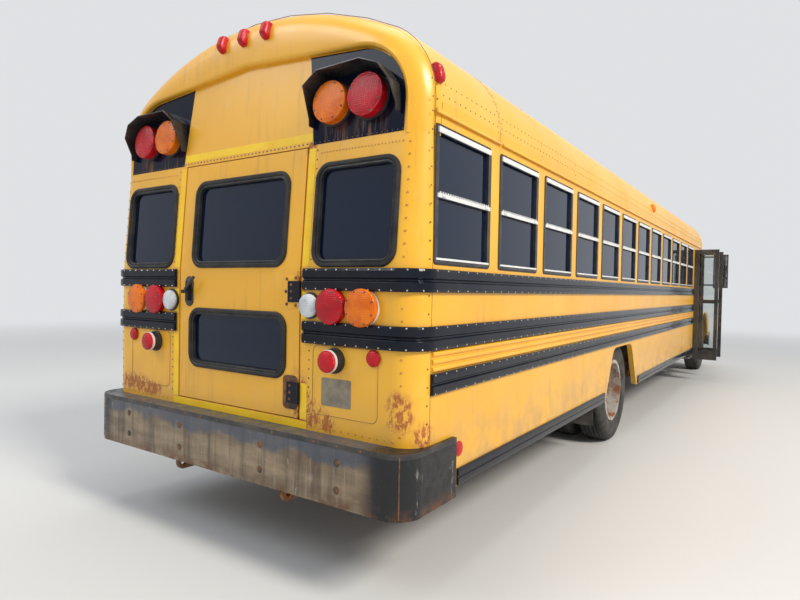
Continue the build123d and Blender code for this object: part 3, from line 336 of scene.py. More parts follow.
def yellow(name, deep, pale, dust, rust=True, worn=0.0):
    """Weathered yellow paint: two tones, pale patches of chalky fading and painted sky reflection, run marks,
    road dirt, chips and, with rust, the spots.
    """
    p = Paint(name)
    broad = p.span(p.noise(0.9, 3.0), 0.35, 0.7)
    colour = p.mix(broad, deep, pale)
    # Pale patches: partly chalky faded paint, partly a painted sky reflection
    chalk_and_sky_sheen = p.span(p.noise(7.0, 6.0, 0.62), 0.52, 0.8)
    colour = p.mix(p.times(chalk_and_sky_sheen, 0.22), colour, (0.78, 0.52, 0.2))
    runs = p.times(streaks(p), p.span(p.noise(1.7, 2.0), 0.42, 0.66), 0.3)
    colour = p.mix(runs, colour, (0.3, 0.18, 0.07))
    height = p.axis("Z")
    low_dirt = p.times(p.span(height, 1.05, 0.5), p.span(p.noise(5.0, 6.0, 0.65), 0.34, 0.66), dust)
    colour = p.mix(low_dirt, colour, (0.33, 0.22, 0.12))
    chips = p.times(p.span(p.cells(46.0), 0.1, 0.03), p.span(p.noise(2.6, 2.0), 0.54, 0.64))
    mask = chips
    if rust:
        spots = p.most(*[p.near(centre, reach * 1.25, stretch) for centre, reach, stretch in RUST_SPOTS])
        mask = p.most(chips, p.span(spots, 0.2, 0.36))
        colour = p.mix(p.span(spots, 0.03, 0.22, 0.0, 0.55), colour, (0.52, 0.22, 0.04))
    tint = p.mix(p.noise(60.0, 3.0), (0.22, 0.055, 0.01), (0.56, 0.19, 0.028))
    colour = p.mix(mask, colour, tint)
    rough = p.sum("ADD", p.span(p.noise(3.5, 5.0), 0.3, 0.75, 0.3 + worn, 0.46 + worn), p.times(mask, 0.4))
    p.set(Base_Color=colour, Roughness=rough, Coat_Weight=0.25, Coat_Roughness=0.22)
    p.bump((p.noise(2.2, 2.0, 0.4), 0.16, 0.01), (p.noise(220.0, 2.0), 0.05, 0.0006),
           (p.times(mask, p.noise(90.0, 3.0)), 0.5, 0.0012))


CAP_TONES = (0.785, 0.385, 0.014), (0.83, 0.44, 0.026)
yellow("body_yellow", (0.78, 0.375, 0.01), (0.82, 0.43, 0.018), 0.6)
yellow("cap_yellow", *CAP_TONES, 0.4)
yellow("lip_yellow", *CAP_TONES, 0.4, rust=False)
yellow("door_yellow", *CAP_TONES, 0.35)
yellow("roof_tan", (0.73, 0.385, 0.03), (0.78, 0.45, 0.07), 0.3, rust=False, worn=0.08)


def plain(name, colour, other, rough=0.5, metal=0.0, scale=14.0, bumps=0.25, deep=0.001, dust=0.0, **more):
    """A rigid finish: two close colours, cloudy wear, light dust and a fine grain."""
    p = Paint(name)
    shade = p.mix(p.span(p.noise(scale, 6.0, 0.6), 0.32, 0.7), colour, other)
    if dust:
        dusty = p.times(p.span(p.noise(scale * 0.35, 5.0, 0.6), 0.36, 0.68), dust)
        shade = p.mix(dusty, shade, (0.3, 0.25, 0.19))
    roughness = p.span(p.noise(scale * 1.7, 4.0), 0.3, 0.75, rough - 0.08, rough + 0.12)
    p.set(Base_Color=shade, Roughness=roughness, Metallic=metal, **more)
    p.bump((p.noise(scale * 9, 3.0), bumps, deep))


def rusty(name, base, amount, metal=0.5):
    """Bare or painted steel with rust through it."""
    p = Paint(name)
    scaled = p.span(p.noise(9.0, 8.0, 0.68), 0.5 - amount * 0.3, 0.62)
    tint = p.mix(p.noise(55.0, 4.0), (0.13, 0.045, 0.018), (0.36, 0.15, 0.05))
    colour = p.mix(scaled, base, tint)
    p.set(Base_Color=colour, Roughness=p.span(scaled, 0, 1, 0.45, 0.9),
          Metallic=p.span(scaled, 0, 1, metal, 0.0))
    p.bump((p.noise(70.0, 5.0, 0.7), 0.6, 0.0018))


def glass(name, tint, rough=0.03, dust=0.06, clear=1.0):
    p = Paint(name)
    smear = p.times(p.span(p.noise(2.4, 6.0, 0.6), 0.45, 0.72), dust)
    p.set(Base_Color=p.mix(smear, tint, (0.35, 0.33, 0.3)),
          Transmission_Weight=p.span(smear, 0, 1, clear, 0.6),
          Roughness=p.sum("ADD", p.times(smear, 0.6), rough), IOR=1.45, Specular_IOR_Level=0.2)


def lens(name, colour, deep, glow=0.0):
    """Ribbed lamp plastic with patches of dust."""
    p = Paint(name)
    shade = p.mix(p.span(p.noise(12.0, 5.0), 0.35, 0.7), colour, deep)
    shade = p.mix(p.times(p.span(p.noise(34.0, 4.0), 0.58, 0.74), 0.18), shade, (0.45, 0.36, 0.26))
    p.set(Base_Color=shade, Roughness=0.24, Transmission_Weight=glow, IOR=1.45, Specular_IOR_Level=0.35)
    ribs, rows = p.wave(30.0, "X"), p.wave(30.0, "Z")
    lines = p.most(ribs, rows)
    p.put(p.shader.inputs["Base Color"], p.mix(p.span(lines, 0.55, 1.0, 0.0, 0.45), shade, deep))
    p.bump((lines, 0.6, 0.0015))


# The navy in the black rails' colour is a painted sky reflection
plain("rail_black", (0.002, 0.004, 0.011), (0.005, 0.007, 0.015), 0.13, 0.0, 9.0, 0.05, 0.0006, 0.02,
      Specular_IOR_Level=0.22)
p = Paint("panel_black")
lamp_columns = [p.sum("ABSOLUTE", p.sum("SUBTRACT", p.sum("ABSOLUTE", p.axis("X")), x)) for x in (0.676, 0.9)]
under_lamps = p.most(*[p.span(far, 0.13, 0.02) for far in lamp_columns])
mist = p.times(streaks(p, 34.0, 0.48, 0.66), p.span(p.axis("Z"), 2.38, 2.24), under_lamps, 0.75)
shade = p.mix(mist, (0.002, 0.005, 0.018), (0.2, 0.085, 0.035))
p.set(Base_Color=shade, Roughness=p.sum("ADD", p.times(mist, 0.6), 0.12), Specular_IOR_Level=0.14)
p.bump((p.noise(2.5, 2.0), 0.15, 0.004))

p = Paint("bumper_worn")
height = p.axis("Z")
top_band = p.span(p.sum("ADD", height, p.span(p.noise(4.0, 4.0), 0.3, 0.7, -0.03, 0.03)), 0.635, 0.68)
side_band = p.most(p.span(p.axis("X"), 0.96, 1.1), p.span(p.axis("X"), -1.02, -1.15))
base = p.mix(p.span(p.noise(6.0, 7.0, 0.65, (0.35, 1, 1.6)), 0.36, 0.68), (0.175, 0.125, 0.078),
             (0.32, 0.24, 0.155))
base = p.mix(p.times(streaks(p, 20.0, 0.46, 0.64), 0.6), base, (0.06, 0.042, 0.03))
base = p.mix(p.times(streaks(p, 48.0, 0.56, 0.68), 0.35), base, (0.36, 0.3, 0.23))
base = p.mix(p.times(top_band, 0.8), base, (0.06, 0.078, 0.11))
base = p.mix(side_band, base, (0.012, 0.013, 0.015))
scratch = p.times(p.span(p.noise(15.0, 7.0, 0.75, (0.9, 0.9, 0.25)), 0.6, 0.66),
                  p.span(p.noise(3.0, 3.0), 0.42, 0.58))
base = p.mix(p.times(scratch, 0.8), base, (0.46, 0.44, 0.42))
low_rust = p.times(p.span(height, 0.52, 0.44), p.span(p.noise(11.0, 6.0), 0.42, 0.6))
base = p.mix(low_rust, base, (0.12, 0.05, 0.02))
p.set(Base_Color=base, Metallic=0.3, Roughness=p.span(p.noise(18.0, 5.0), 0.3, 0.7, 0.22, 0.52))
p.bump((p.noise(3.0, 3.0), 0.25, 0.012), (p.noise(120.0, 4.0), 0.25, 0.0008))

for name, base, amount, metal in (
    ("rusted_steel", (0.16, 0.12, 0.09), 0.9, 0.3), ("frame_black", (0.02, 0.019, 0.018), 0.35, 0.1),
    ("tank_black", (0.03, 0.03, 0.03), 0.2, 0.2), ("exhaust_steel", (0.22, 0.19, 0.16), 0.6, 0.7),
    ("rim_steel", (0.46, 0.44, 0.41), 0.25, 0.2), ("hinge_rust", (0.02, 0.018, 0.017), 0.55, 0.2),
):
    rusty(name, base, amount, metal)
# The navy in the dark glass's colour is a painted sky reflection
glass("dark_glass", (0.006, 0.026, 0.085), 0.0, 0.008, 0.7)
glass("clear_glass", (0.8, 0.84, 0.83))
lens("red_lens", (0.56, 0.005, 0.014), (0.36, 0.003, 0.009))
lens("amber_lens", (0.86, 0.205, 0.005), (0.62, 0.11, 0.003))
lens("clear_lens", (0.86, 0.88, 0.9), (0.5, 0.54, 0.58), 0.2)
plain("gasket_rubber", (0.01, 0.01, 0.011), (0.024, 0.024, 0.024), 0.42, 0.0, 16.0, 0.2, 0.001, 0.05,
      Specular_IOR_Level=0.25)
# Columns: name, colour, other colour, roughness, metal, scale, bumps, their depth, dust
for row in (
    ("engine_grey", (0.12, 0.12, 0.12), (0.2, 0.19, 0.17), 0.55, 0.6, 12.0, 0.4, 0.002),
    ("floor_grey", (0.06, 0.06, 0.062), (0.11, 0.1, 0.095), 0.7, 0.0, 6.0, 0.4, 0.001, 0.4),
    ("step_metal", (0.09, 0.09, 0.09), (0.17, 0.16, 0.14), 0.5, 0.6, 10.0, 0.5, 0.002, 0.4),
    ("window_silver", (0.74, 0.74, 0.73), (0.86, 0.86, 0.84), 0.36, 0.35, 11.0, 0.12, 0.0006),
    ("frame_dark", (0.02, 0.021, 0.024), (0.05, 0.05, 0.052), 0.36, 0.3, 12.0, 0.15, 0.0006, 0.12),
    ("flap_rubber", (0.012, 0.012, 0.012), (0.03, 0.029, 0.027), 0.62, 0.0, 9.0, 0.4, 0.001, 0.35),
    ("trim_black", (0.012, 0.012, 0.013), (0.028, 0.028, 0.029), 0.42, 0.0, 15.0, 0.25, 0.0008, 0.15),
    ("trim_gloss", (0.006, 0.006, 0.008), (0.014, 0.014, 0.016), 0.22, 0.0, 10.0, 0.15, 0.0008, 0.1),
    ("stop_red", (0.5, 0.01, 0.015), (0.6, 0.02, 0.022), 0.35, 0.0, 5.0, 0.1, 0.0005, 0.1),
    ("white_paint", (0.72, 0.72, 0.7), (0.58, 0.57, 0.54), 0.45, 0.0, 7.0, 0.2, 0.001, 0.2),
    ("gold_film", (0.9, 0.58, 0.004), (0.86, 0.5, 0.004), 0.34, 0.0, 8.0, 0.15, 0.0005, 0.03),
    ("patch_grey", (0.16, 0.14, 0.1), (0.26, 0.22, 0.15), 0.6, 0.0, 20.0, 0.4, 0.001, 0.3),
    ("mirror_chrome", (0.75, 0.76, 0.78), (0.65, 0.66, 0.68), 0.16, 1.0, 8.0, 0.05, 0.0003),
    ("rivet_pale", (0.42, 0.4, 0.37), (0.6, 0.58, 0.54), 0.4, 0.5, 30.0),
    ("rivet_yellow", (0.6, 0.3, 0.05), (0.35, 0.17, 0.04), 0.45, 0.1, 30.0),
    ("rivet_roof", (0.3, 0.14, 0.03), (0.16, 0.08, 0.03), 0.5, 0.1, 30.0),
    ("rivet_dark", (0.055, 0.04, 0.03), (0.12, 0.09, 0.07), 0.5, 0.3, 30.0),
    ("seam_dark", (0.22, 0.12, 0.03), (0.34, 0.19, 0.04), 0.7, 0.0, 20.0),
):
    plain(*row)

p = Paint("tyre")
shade = p.mix(p.span(p.noise(7.0, 6.0, 0.6), 0.35, 0.68), (0.016, 0.016, 0.016), (0.07, 0.064, 0.056))
p.set(Base_Color=shade, Roughness=0.78)
p.bump((p.noise(110.0, 4.0), 0.4, 0.001), (p.noise(5.0, 3.0), 0.2, 0.004))

p = Paint("seat_vinyl")
shade = p.mix(p.span(p.noise(3.0, 4.0), 0.35, 0.7), (0.018, 0.045, 0.03), (0.03, 0.065, 0.045))
p.set(Base_Color=shade, Roughness=p.span(p.noise(16.0, 4.0), 0.3, 0.7, 0.34, 0.52), Sheen_Weight=0.08)
p.bump((p.cells(260.0), 0.35, 0.0008), (p.noise(9.0, 3.0), 0.25, 0.004))

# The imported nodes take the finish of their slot, or else black trim. A few nodes have a finish of their own
SLOT_PAINT = {"bumper_black": "bumper_worn", "hatch_white": "white_paint"}
NODE_PAINT = {"roof": "roof_tan", "rear_wall": "cap_yellow", "rear_door": "door_yellow",
              "window_frames": "frame_dark"}
for name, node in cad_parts.items():
    for place in node.material_slots:
        slot_name = place.material.name.split(".")[0] if place.material else ""
        paint = NODE_PAINT.get(name) or SLOT_PAINT.get(slot_name, slot_name)
        place.material = PAINTS.get(paint, PAINTS["trim_black"])

# Rubber round the rear panes


def gasket(shape, outline, place, wide=0.026, high=0.012):
    section = [(-wide / 2, -0.004), (-wide * 0.42, high * 0.6), (-wide * 0.2, high), (wide * 0.2, high),
               (wide * 0.42, high * 0.6), (wide / 2, -0.004)]
    path = [place(a, b, 0.0) for a, b in outline]
    shape.sweep(path, section, (0, -1, SLOPE), closed=True)


def flange(shape, low_a, high_a, low_b, high_b, radius, place, leaning=True):
    """The rubber's inner edge, from the skin down to the sunk glass."""
    outline = rounded(low_a, high_a, low_b, high_b, radius, 8)
    path = [place(a, b, 0.0) for a, b in outline]
    section = [(-0.01, -0.017), (-0.01, 0.003), (-0.004, 0.006), (0.004, 0.004), (0.01, -0.006),
               (0.01, -0.017)]
    shape.sweep(path, section, (0, -1, SLOPE if leaning else 0), closed=True)


def on_rear(x, z, out):
    return Vector((x, REAR + lean(z) - out, z))


shape = Shape()
for side in (-1, 1):
    ends = ordered(side, 0.587, 1.086)
    gasket(shape, rounded(ends[0], ends[1], 1.592, 2.099, 0.074, 8), on_rear, 0.026)
    flange(shape, ends[0] + 0.016, ends[1] - 0.016, 1.608, 2.083, 0.058, on_rear)
shape.make("corner_window_rubber", "gasket_rubber", slot="trim_black")
shape = Shape()
gasket(shape, rounded(-0.384, 0.384, 1.594, 2.087, 0.074, 8), on_rear, 0.028)
flange(shape, -0.368, 0.368, 1.61, 2.071, 0.058, on_rear)
gasket(shape, rounded(-0.397, 0.397, 1.003, 1.333, 0.074, 8), on_rear, 0.028)
flange(shape, -0.381, 0.381, 1.019, 1.317, 0.058, on_rear, False)
shape.make("door_window_rubber", "gasket_rubber", "rear_door", "trim_black")

# Reflective strips beside, below and above the rear door
shape = Shape()


def film(shape, low, high, z_low, z_high):
    """A thin strip lying on the rear skin."""
    shape.prism([(low, z_low), (high, z_low), (high, z_high), (low, z_high)], on_rear, 0.0, 0.0012)


for low, high, foot in ((0.515, 0.56, 0.985), (-0.56, -0.515, 1.185)):
    for z_low, z_high in ((0.8, foot), (1.318, 1.455), (1.585, 2.195)):
        film(shape, low, high, z_low, z_high)
film(shape, -0.56, 0.56, 0.752, 0.79)
film(shape, -0.53, 0.53, 2.232, 2.276)
shape.make("gold_strips", "gold_film", slot="body_yellow")

# The upright cap round the sunk field: it stands out from the leaning wall, with a coved inner edge


def lip_point(share):
    """The sunk field's outline, from the foot of one side (0) over the top to the other (1)."""
    corners = [Vector((LIP_HALF, LIP_LOW)), Vector((LIP_HALF, LIP_SHOULDER)), Vector((0.0, LIP_CROWN)),
               Vector((-LIP_HALF, LIP_SHOULDER)), Vector((-LIP_HALF, LIP_LOW))]
    before, corner, after = corners[:3] if share <= 0.5 else corners[:1:-1]
    t = share * 2 if share <= 0.5 else (1 - share) * 2
    one, two = (before - corner).normalized(), (after - corner).normalized()
    half_turn = one.angle(two) / 2
    reach = LIP_BEND / tan(half_turn)
    first, last = (before - corner).length - reach, (after - corner).length - reach
    arc = LIP_BEND * (pi - 2 * half_turn)
    s = t * (first + arc + last)
    if s <= first:
        return before - one * s
    if s >= first + arc:
        return after - two * (first + arc + last - s)
    centre = corner + (one + two).normalized() * (LIP_BEND / sin(half_turn))
    start = before - one * first - centre
    sign = 1 if start.cross(corner - centre) > 0 else -1
    a = sign * (s - first) / LIP_BEND
    return centre + Vector((start.x * cos(a) - start.y * sin(a), start.x * sin(a) + start.y * cos(a)))


def skin_point(point):
    """The body's outline beside a point of the field's outline."""
    x, z = point
    if z <= EAVE:
        return Vector((HALF if x > 0 else -HALF, z))
    pole = Vector((HX if x > 0 else -HX, EAVE))
    away = Vector((x, z)) - pole
    out = pole + away.normalized() * HAUNCH
    crown = Vector((x, z)) - Vector((0, CROWN_Z))
    if abs(x) < HX or atan2(crown.y, abs(crown.x)) > TURN:
        out = Vector((0, CROWN_Z)) + crown.normalized() * CROWN
    return out


UPRIGHT, COVE, LIP_STEPS = lean(LIP_LOW), 0.02, 72
rows = []
for i in range(LIP_STEPS + 1):
    inner = lip_point(i / LIP_STEPS)
    outer = skin_point(inner)
    across, wide = (inner - outer).normalized(), (inner - outer).length
    row = [Vector((outer.x, REAR + lean(outer.y) + CORNER + 0.004, outer.y))]
    for k in range(9):
        d = CORNER * (1 - cos(radians(90 * k / 8)))
        at = outer + across * min(d, wide - COVE)
        row.append(Vector((at.x, REAR + UPRIGHT + CORNER - sqrt(max(0.0, CORNER**2 - (CORNER - d) ** 2)),
                           at.y)))
    sunk = lean(inner.y) + 0.004
    for k in range(6):
        a = radians(90 * k / 5)
        at = outer + across * (wide - COVE + COVE * sin(a))
        row.append(Vector((at.x, REAR + UPRIGHT + min(COVE, sunk - UPRIGHT) * (1 - cos(a)), at.y)))
    row.append(Vector((inner.x, REAR + sunk, inner.y)))
    rows.append(row)
shape = Shape()
shape.grid(rows)
shape.make("rear_cap_lip", "lip_yellow", slot="body_yellow", smooth=50)

# The black field behind each pair of warning lamps, a film on the sunk floor
shape = Shape()
FIELD_LOW = 2.212


def field_edge(z):
    """Where the field's inner edge lies at height z, from the middle of the body."""
    return 0.542 - 0.064 * (z - LIP_LOW) / 0.52


for side in (-1, 1):
    outline = []
    for i in range(121):
        spot = lip_point(i / 240)
        if spot.y > FIELD_LOW and spot.x > field_edge(spot.y):
            outline.append((side * (spot.x - 0.002), spot.y - (0.004 if spot.x < 1.0 else 0.0)))
    top = outline[-1][1]
    outline += [(side * field_edge(top), top + 0.004), (side * 0.54, FIELD_LOW),
                (side * (LIP_HALF - 0.002), FIELD_LOW)]
    shape.prism(outline, on_rear, 0.0002, 0.0014)
shape.make("warning_field_film", "panel_black", slot="rail_black", smooth=10)

# Visors over the warning lamps: folded plates that stand deep above and shallow at their ends.
# Columns: across, height, depth
VISOR = [
    (0.528, 2.3, 0.034), (0.53, 2.335, 0.04), (0.545, 2.478, 0.118),
    (0.632, 2.542, 0.118), (0.9, 2.548, 0.118), (1.01, 2.505, 0.118),
    (1.066, 2.43, 0.1), (1.075, 2.335, 0.04), (1.076, 2.3, 0.034),
]
VISOR_SKIN = 0.006


def visor(shape, place, out):
    """One folded visor; place turns across and height into a point on its plane."""
    rings = []
    n = len(VISOR)
    for i, (x, z, deep) in enumerate(VISOR):
        before, after = VISOR[max(0, i - 1)], VISOR[min(n - 1, i + 1)]
        normal = Vector((after[1] - before[1], -(after[0] - before[0]))).normalized() * VISOR_SKIN
        foot, back = place(x, z), place(x + normal.x, z + normal.y)
        rings.append([foot - out * 0.004, foot + out * deep, back + out * deep, back - out * 0.004])
    shape.rings(rings)


shape = Shape()
for side in (-1, 1):
    visor(shape, lambda x, z, side=side: on_rear(side * x, z, 0.0), UPPER_OUT)
hoods = shape.make("warning_lamp_visors", "trim_gloss", slot="rail_black", bevel=0.0012, smooth=30)
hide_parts("lamp_visors")

# Rivets over the rear
shape, dark = Shape(), Shape()
back = (0, -1, SLOPE)
for i in range(74):
    x = -1.095 + 2.19 * i / 73
    dark.rivet(on_rear(x, 2.221, 0.0), back, 0.005, 0.003)
for side in (-1, 1):
    for i in range(30):
        z = 0.83 + (2.18 - 0.83) * i / 29
        if not (1.18 < z < 1.32 or 1.45 < z < 1.59):
            dark.rivet(on_rear(side * 0.572, z, 0.0), (0, -1, 0), 0.0045, 0.0028)
    for i in range(24):
        z = 0.8 + 1.36 * i / 23
        if not (1.18 < z < 1.32 or 1.45 < z < 1.59):
            shape.rivet(rear_point(side * 1.135, z), (side * 0.35, -0.9, 0), 0.006, 0.0035)
    for i in range(26):
        x = side * (0.6 + 0.5 * i / 25)
        shape.rivet(on_rear(x, 2.165, 0.0), back, 0.005, 0.003)
    for i in range(24):
        x = side * (0.6 + 0.5 * i / 23)
        if i % 2:
            shape.rivet(on_rear(x, 0.775, 0.0), (0, -1, 0), 0.0055, 0.003)
dark.make("header_rivets", "rivet_dark", slot="rusted_steel")
shape.make("rear_rivets", "rivet_yellow", slot="body_yellow")

# Seams at the rear cap and over the first post, with rivets on both sides, and rivet rows over the other posts
seam_shape, dots = Shape(), Shape()


def hoop(shape, y, low):
    """A thin band over the body at y, from the height low on each side."""
    path = []
    for side in (-1, 1):
        rows = [(Vector((side * HALF, y, low + (EAVE - low) * i / 8)), Vector((side, 0, 0)))
                for i in range(9)]
        for t in [7.5 * i for i in range(1, 13)]:
            rows.append((roof_point(t, y, 0.0, side), Vector((side * cos(radians(t)), 0, sin(radians(t))))))
        path += rows if side < 0 else rows[-2::-1]
    section = [(-0.0015, -0.002), (-0.0015, 0.0012), (0.0015, 0.0012), (0.0015, -0.002)]
    shape.sweep([p for p, up in path], section, [up for p, up in path])


def hoop_rivets(shape, y, low, high_turn, step, radius=0.0055):
    """Rivets up each side from the height low, then over the roof as far as high_turn degrees."""
    for side in (-1, 1):
        z = low
        while z < EAVE:
            shape.rivet((side * HALF, y, z), (side, 0, 0), radius, 0.002)
            z += step
        reach = HAUNCH * TURN + CROWN * (pi / 2 - TURN)
        s = 0.0
        while s < reach:
            t = s / HAUNCH if s < HAUNCH * TURN else TURN + (s - HAUNCH * TURN) / CROWN
            a = degrees(t)
            if a <= high_turn:
                shape.rivet(roof_point(a, y, 0.0, side), (side * cos(t), 0, sin(t)), radius, 0.0018)
            s += step


hoop(seam_shape, REAR + 0.128, 0.5)
hoop(seam_shape, REAR + 0.835, 2.3)
hoop_rivets(dots, REAR + 0.104, 0.6, 20.0, 0.085, 0.0045)
hoop_rivets(dots, REAR + 0.146, 1.62, 20.0, 0.07, 0.0045)
for y in (REAR + 0.815, REAR + 0.855):
    hoop_rivets(dots, y, 2.32, 62.0, 0.06, 0.0045)
for i in range(2, 14):
    hoop_rivets(dots, REAR + WINDOW_FIRST + PITCH * i - 0.065, 2.4, 62.0, 0.075)
seam_shape.make("skin_seams", "seam_dark", slot="rusted_steel")

# The staggered rivet band along each roof side, and the drip rail over the windows
for side in (-1, 1):
    y = REAR + 0.2
    while y < FRONT - 0.45:
        for turn, shift in ((4.0, 0.0), (12.0, 0.5)):
            p = roof_point(turn, y + shift * 0.055, 0.0, side)
            dots.rivet(p, (side * cos(radians(turn)), 0, sin(radians(turn))), 0.005, 0.0024)
        y += 0.055
dots.make("roof_rivets", "rivet_roof", slot="rusted_steel")

shape = Shape()
drip = [(-0.012, -0.001), (-0.012, 0.004), (-0.004, 0.014), (0.006, 0.017), (0.01, 0.012), (0.004, -0.001)]
for side in (-1, 1):
    for a, b in ((REAR + 0.13, REAR + 0.84), (REAR + 0.86, FRONT - 0.44)):
        shape.sweep([(side * HALF, a, DRIP_Z), (side * HALF, b, DRIP_Z)], drip, (side, 0, 0))
shape.make("drip_rails", "cap_yellow", slot="body_yellow", bevel=0.001)

# Lamps: domed ribbed faces, rims and screws. Columns: kind, out, height, diameter, depth, rim, high up
STANDING_X, STANDING_Z = 0.745, 1.12
LAMPS = [
    ("red", 0.73, 1.386, 0.172, 0.04, None, False), ("amber", 0.922, 1.386, 0.178, 0.04, "pale", False),
    ("clear", 0.58, 1.386, 0.115, 0.03, "dark", False), ("red", 0.9, 2.398, 0.205, 0.06, "dark", True),
    ("amber", 0.676, 2.398, 0.205, 0.06, "dark", True), ("red", 0.985, 1.15, 0.076, 0.012, None, False),
    ("red", STANDING_X, STANDING_Z, 0.104, 0.07, None, False),
]
faces = {"red": Shape(), "amber": Shape(), "clear": Shape()}
rims = {"pale": Shape(), "dark": Shape()}
screws = Shape()
for side in (-1, 1):
    for kind, x, z, wide, deep, rim, high in LAMPS:
        out = UPPER_OUT if high else Vector((0, -1, 0))
        base = Vector((side * x, REAR + lean(z), z))
        r = wide / 2
        tip = base + out * deep
        rings = [(r * 0.985, -0.0005)]
        for i in range(1, 10):
            t = i / 9
            rings.append((r * (0.97 * (1 - t) + 0.02),
                          0.009 * (1 - (1 - t) ** 2.6) + (0.0009 if i % 2 else 0.0)))
        faces[kind].lathe(rings, tip, out, 40)
        edge = [(r + 0.0005, -deep * 0.55), (r + 0.0025, -deep * 0.5), (r + 0.0025, -0.004),
                (r * 0.99, 0.0006)]
        faces[kind].lathe(edge, tip, out, 40)
        if rim:
            rim_r = r + (0.004 if rim == "pale" else 0.01)
            ring = [(r - 0.002, 0.001 - deep), (rim_r, 0.001 - deep), (rim_r, 0.009 - deep),
                    (r + 0.001, 0.012 - deep)]
            rims[rim].lathe(ring, tip, out, 40)
        if wide > 0.12:
            for i in range(8):
                a = radians(22 + 45 * i)
                one = Vector((cos(a), 0, 0)) + out.cross(Vector((1, 0, 0))) * sin(a)
                screws.rivet(tip + one * (r * 0.9) + out * 0.001, out, 0.0062, 0.004)
    # The turned boot and the pale ring of the standing lamp
    base = Vector((side * STANDING_X, REAR, STANDING_Z))
    boot = [(0.053, 0.0), (0.064, 0.0), (0.064, 0.01), (0.058, 0.014), (0.058, 0.04), (0.053, 0.042)]
    rims["dark"].lathe(boot, base, (0, -1, 0), 32)
    rims["pale"].lathe([(0.053, 0.046), (0.0575, 0.046), (0.0575, 0.058), (0.053, 0.06)], base, (0, -1, 0),
                       32)
for kind, face in faces.items():
    face.make(f"{kind}_lamp_faces", f"{kind}_lens", slot=f"{kind}_lens", smooth=25)
rims["pale"].make("pale_lamp_rims", "white_paint", slot="hatch_white")
rims["dark"].make("dark_lamp_rims", "gasket_rubber", slot="trim_black")
screws.make("lamp_screws", "rivet_dark", slot="rusted_steel")

# Rivets along both edges of every rub rail, round the rear corners too
shape = Shape()
RAILS = [("belt", 1.465, 1.575), ("middle", 1.195, 1.308), ("lower", 0.985, 1.085)]
RAIL_END = ENTRANCE - 0.04
for name, low, high in RAILS:
    tall = high - low
    for part in (0.07, 0.93):
        z = low + tall * part
        for side in (-1, 1):
            y = SEAM + 0.02
            while y < RAIL_END - 0.02:
                shape.rivet((side * (HALF + RAIL_OUT), y, z), (side, 0, 0), 0.0046, 0.003)
                y += RAIL_RIVET_PITCH
            if name != "lower":
                for x in [0.56 + 0.066 * i for i in range(9)]:
                    shape.rivet((side * x, REAR - RAIL_OUT, z), (0, -1, 0), 0.0046, 0.003)
                reach = CORNER + RAIL_OUT
                for a in (radians(30), radians(60)):
                    spot = (side * (HALF - CORNER + reach * cos(a)), REAR + CORNER - reach * sin(a), z)
                    shape.rivet(spot, (side * cos(a), -sin(a), 0), 0.005, 0.0028)
shape.make("rail_rivets", "rivet_pale", slot="rusted_steel")

# Window trim: a rubber line, bright sash lines, a thick top rail and a toothed middle rail
lines, bright, teeth = Shape(), Shape(), Shape()
MID, FRAME_OUT = (WINDOW_LOW + WINDOW_HIGH) / 2, 0.004
places = [(side, REAR + WINDOW_FIRST + PITCH * i) for side in (-1, 1) for i in range(WINDOW_COUNT)]
for side, y in places:
    far = y + WINDOW_WIDE

    def on_side(a, b, out, side=side):
        return Vector((side * (HALF + FRAME_OUT + out), a, b))

    outline = rounded(y - 0.004, far + 0.004, WINDOW_LOW - 0.004, WINDOW_HIGH + 0.004, 0.018, 3)
    path = [on_side(a, b, -0.004) for a, b in outline]
    lines.sweep(path, [(-0.006, -0.002), (-0.004, 0.004), (0.004, 0.004), (0.006, -0.002)], (side, 0, 0),
                closed=True)
    for a, b, d in ((WINDOW_HIGH - 0.032, WINDOW_HIGH - 0.006, 0.008), (MID - 0.014, MID + 0.006, 0.007),
                    (WINDOW_LOW + 0.014, WINDOW_LOW + 0.024, 0.004)):
        ends = ordered(side, HALF + FRAME_OUT, HALF + FRAME_OUT + d)
        bright.box((ends[0], y + 0.01, a), (ends[1], far - 0.01, b))
    for i in range(22):
        t = y + 0.035 + (WINDOW_WIDE - 0.07) * i / 21
        ends = ordered(side, HALF + 0.002, HALF + 0.01)
        teeth.box((ends[0], t - 0.0045, MID + 0.006), (ends[1], t + 0.0045, MID + 0.015))
    for t in (y + 0.06, far - 0.06):
        ends = ordered(side, HALF + 0.01, HALF + 0.017)
        teeth.box((ends[0], t - 0.016, MID - 0.01), (ends[1], t + 0.016, MID + 0.002))
lines.make("window_rubber", "gasket_rubber", slot="trim_black")
bright.make("window_bright", "window_silver", slot="window_silver")
teeth.make("window_teeth", "window_silver", slot="window_silver")

# Bumper: a dark strip with bolts along its top edge, bolts in pairs, and the welded corner seams
BUMPER_Y, BUMPER_LOW, BUMPER_HIGH, BUMPER_HALF = REAR - 0.11, 0.45, 0.75, HALF + 0.026
BUMPER_CORNER = 0.13


def bumper_bend(side, a):
    """A point on the bend at one end of the bumper, a radians round from its rear face."""
    return (side * (BUMPER_HALF - BUMPER_CORNER + BUMPER_CORNER * sin(a)),
            BUMPER_Y + BUMPER_CORNER - BUMPER_CORNER * cos(a))


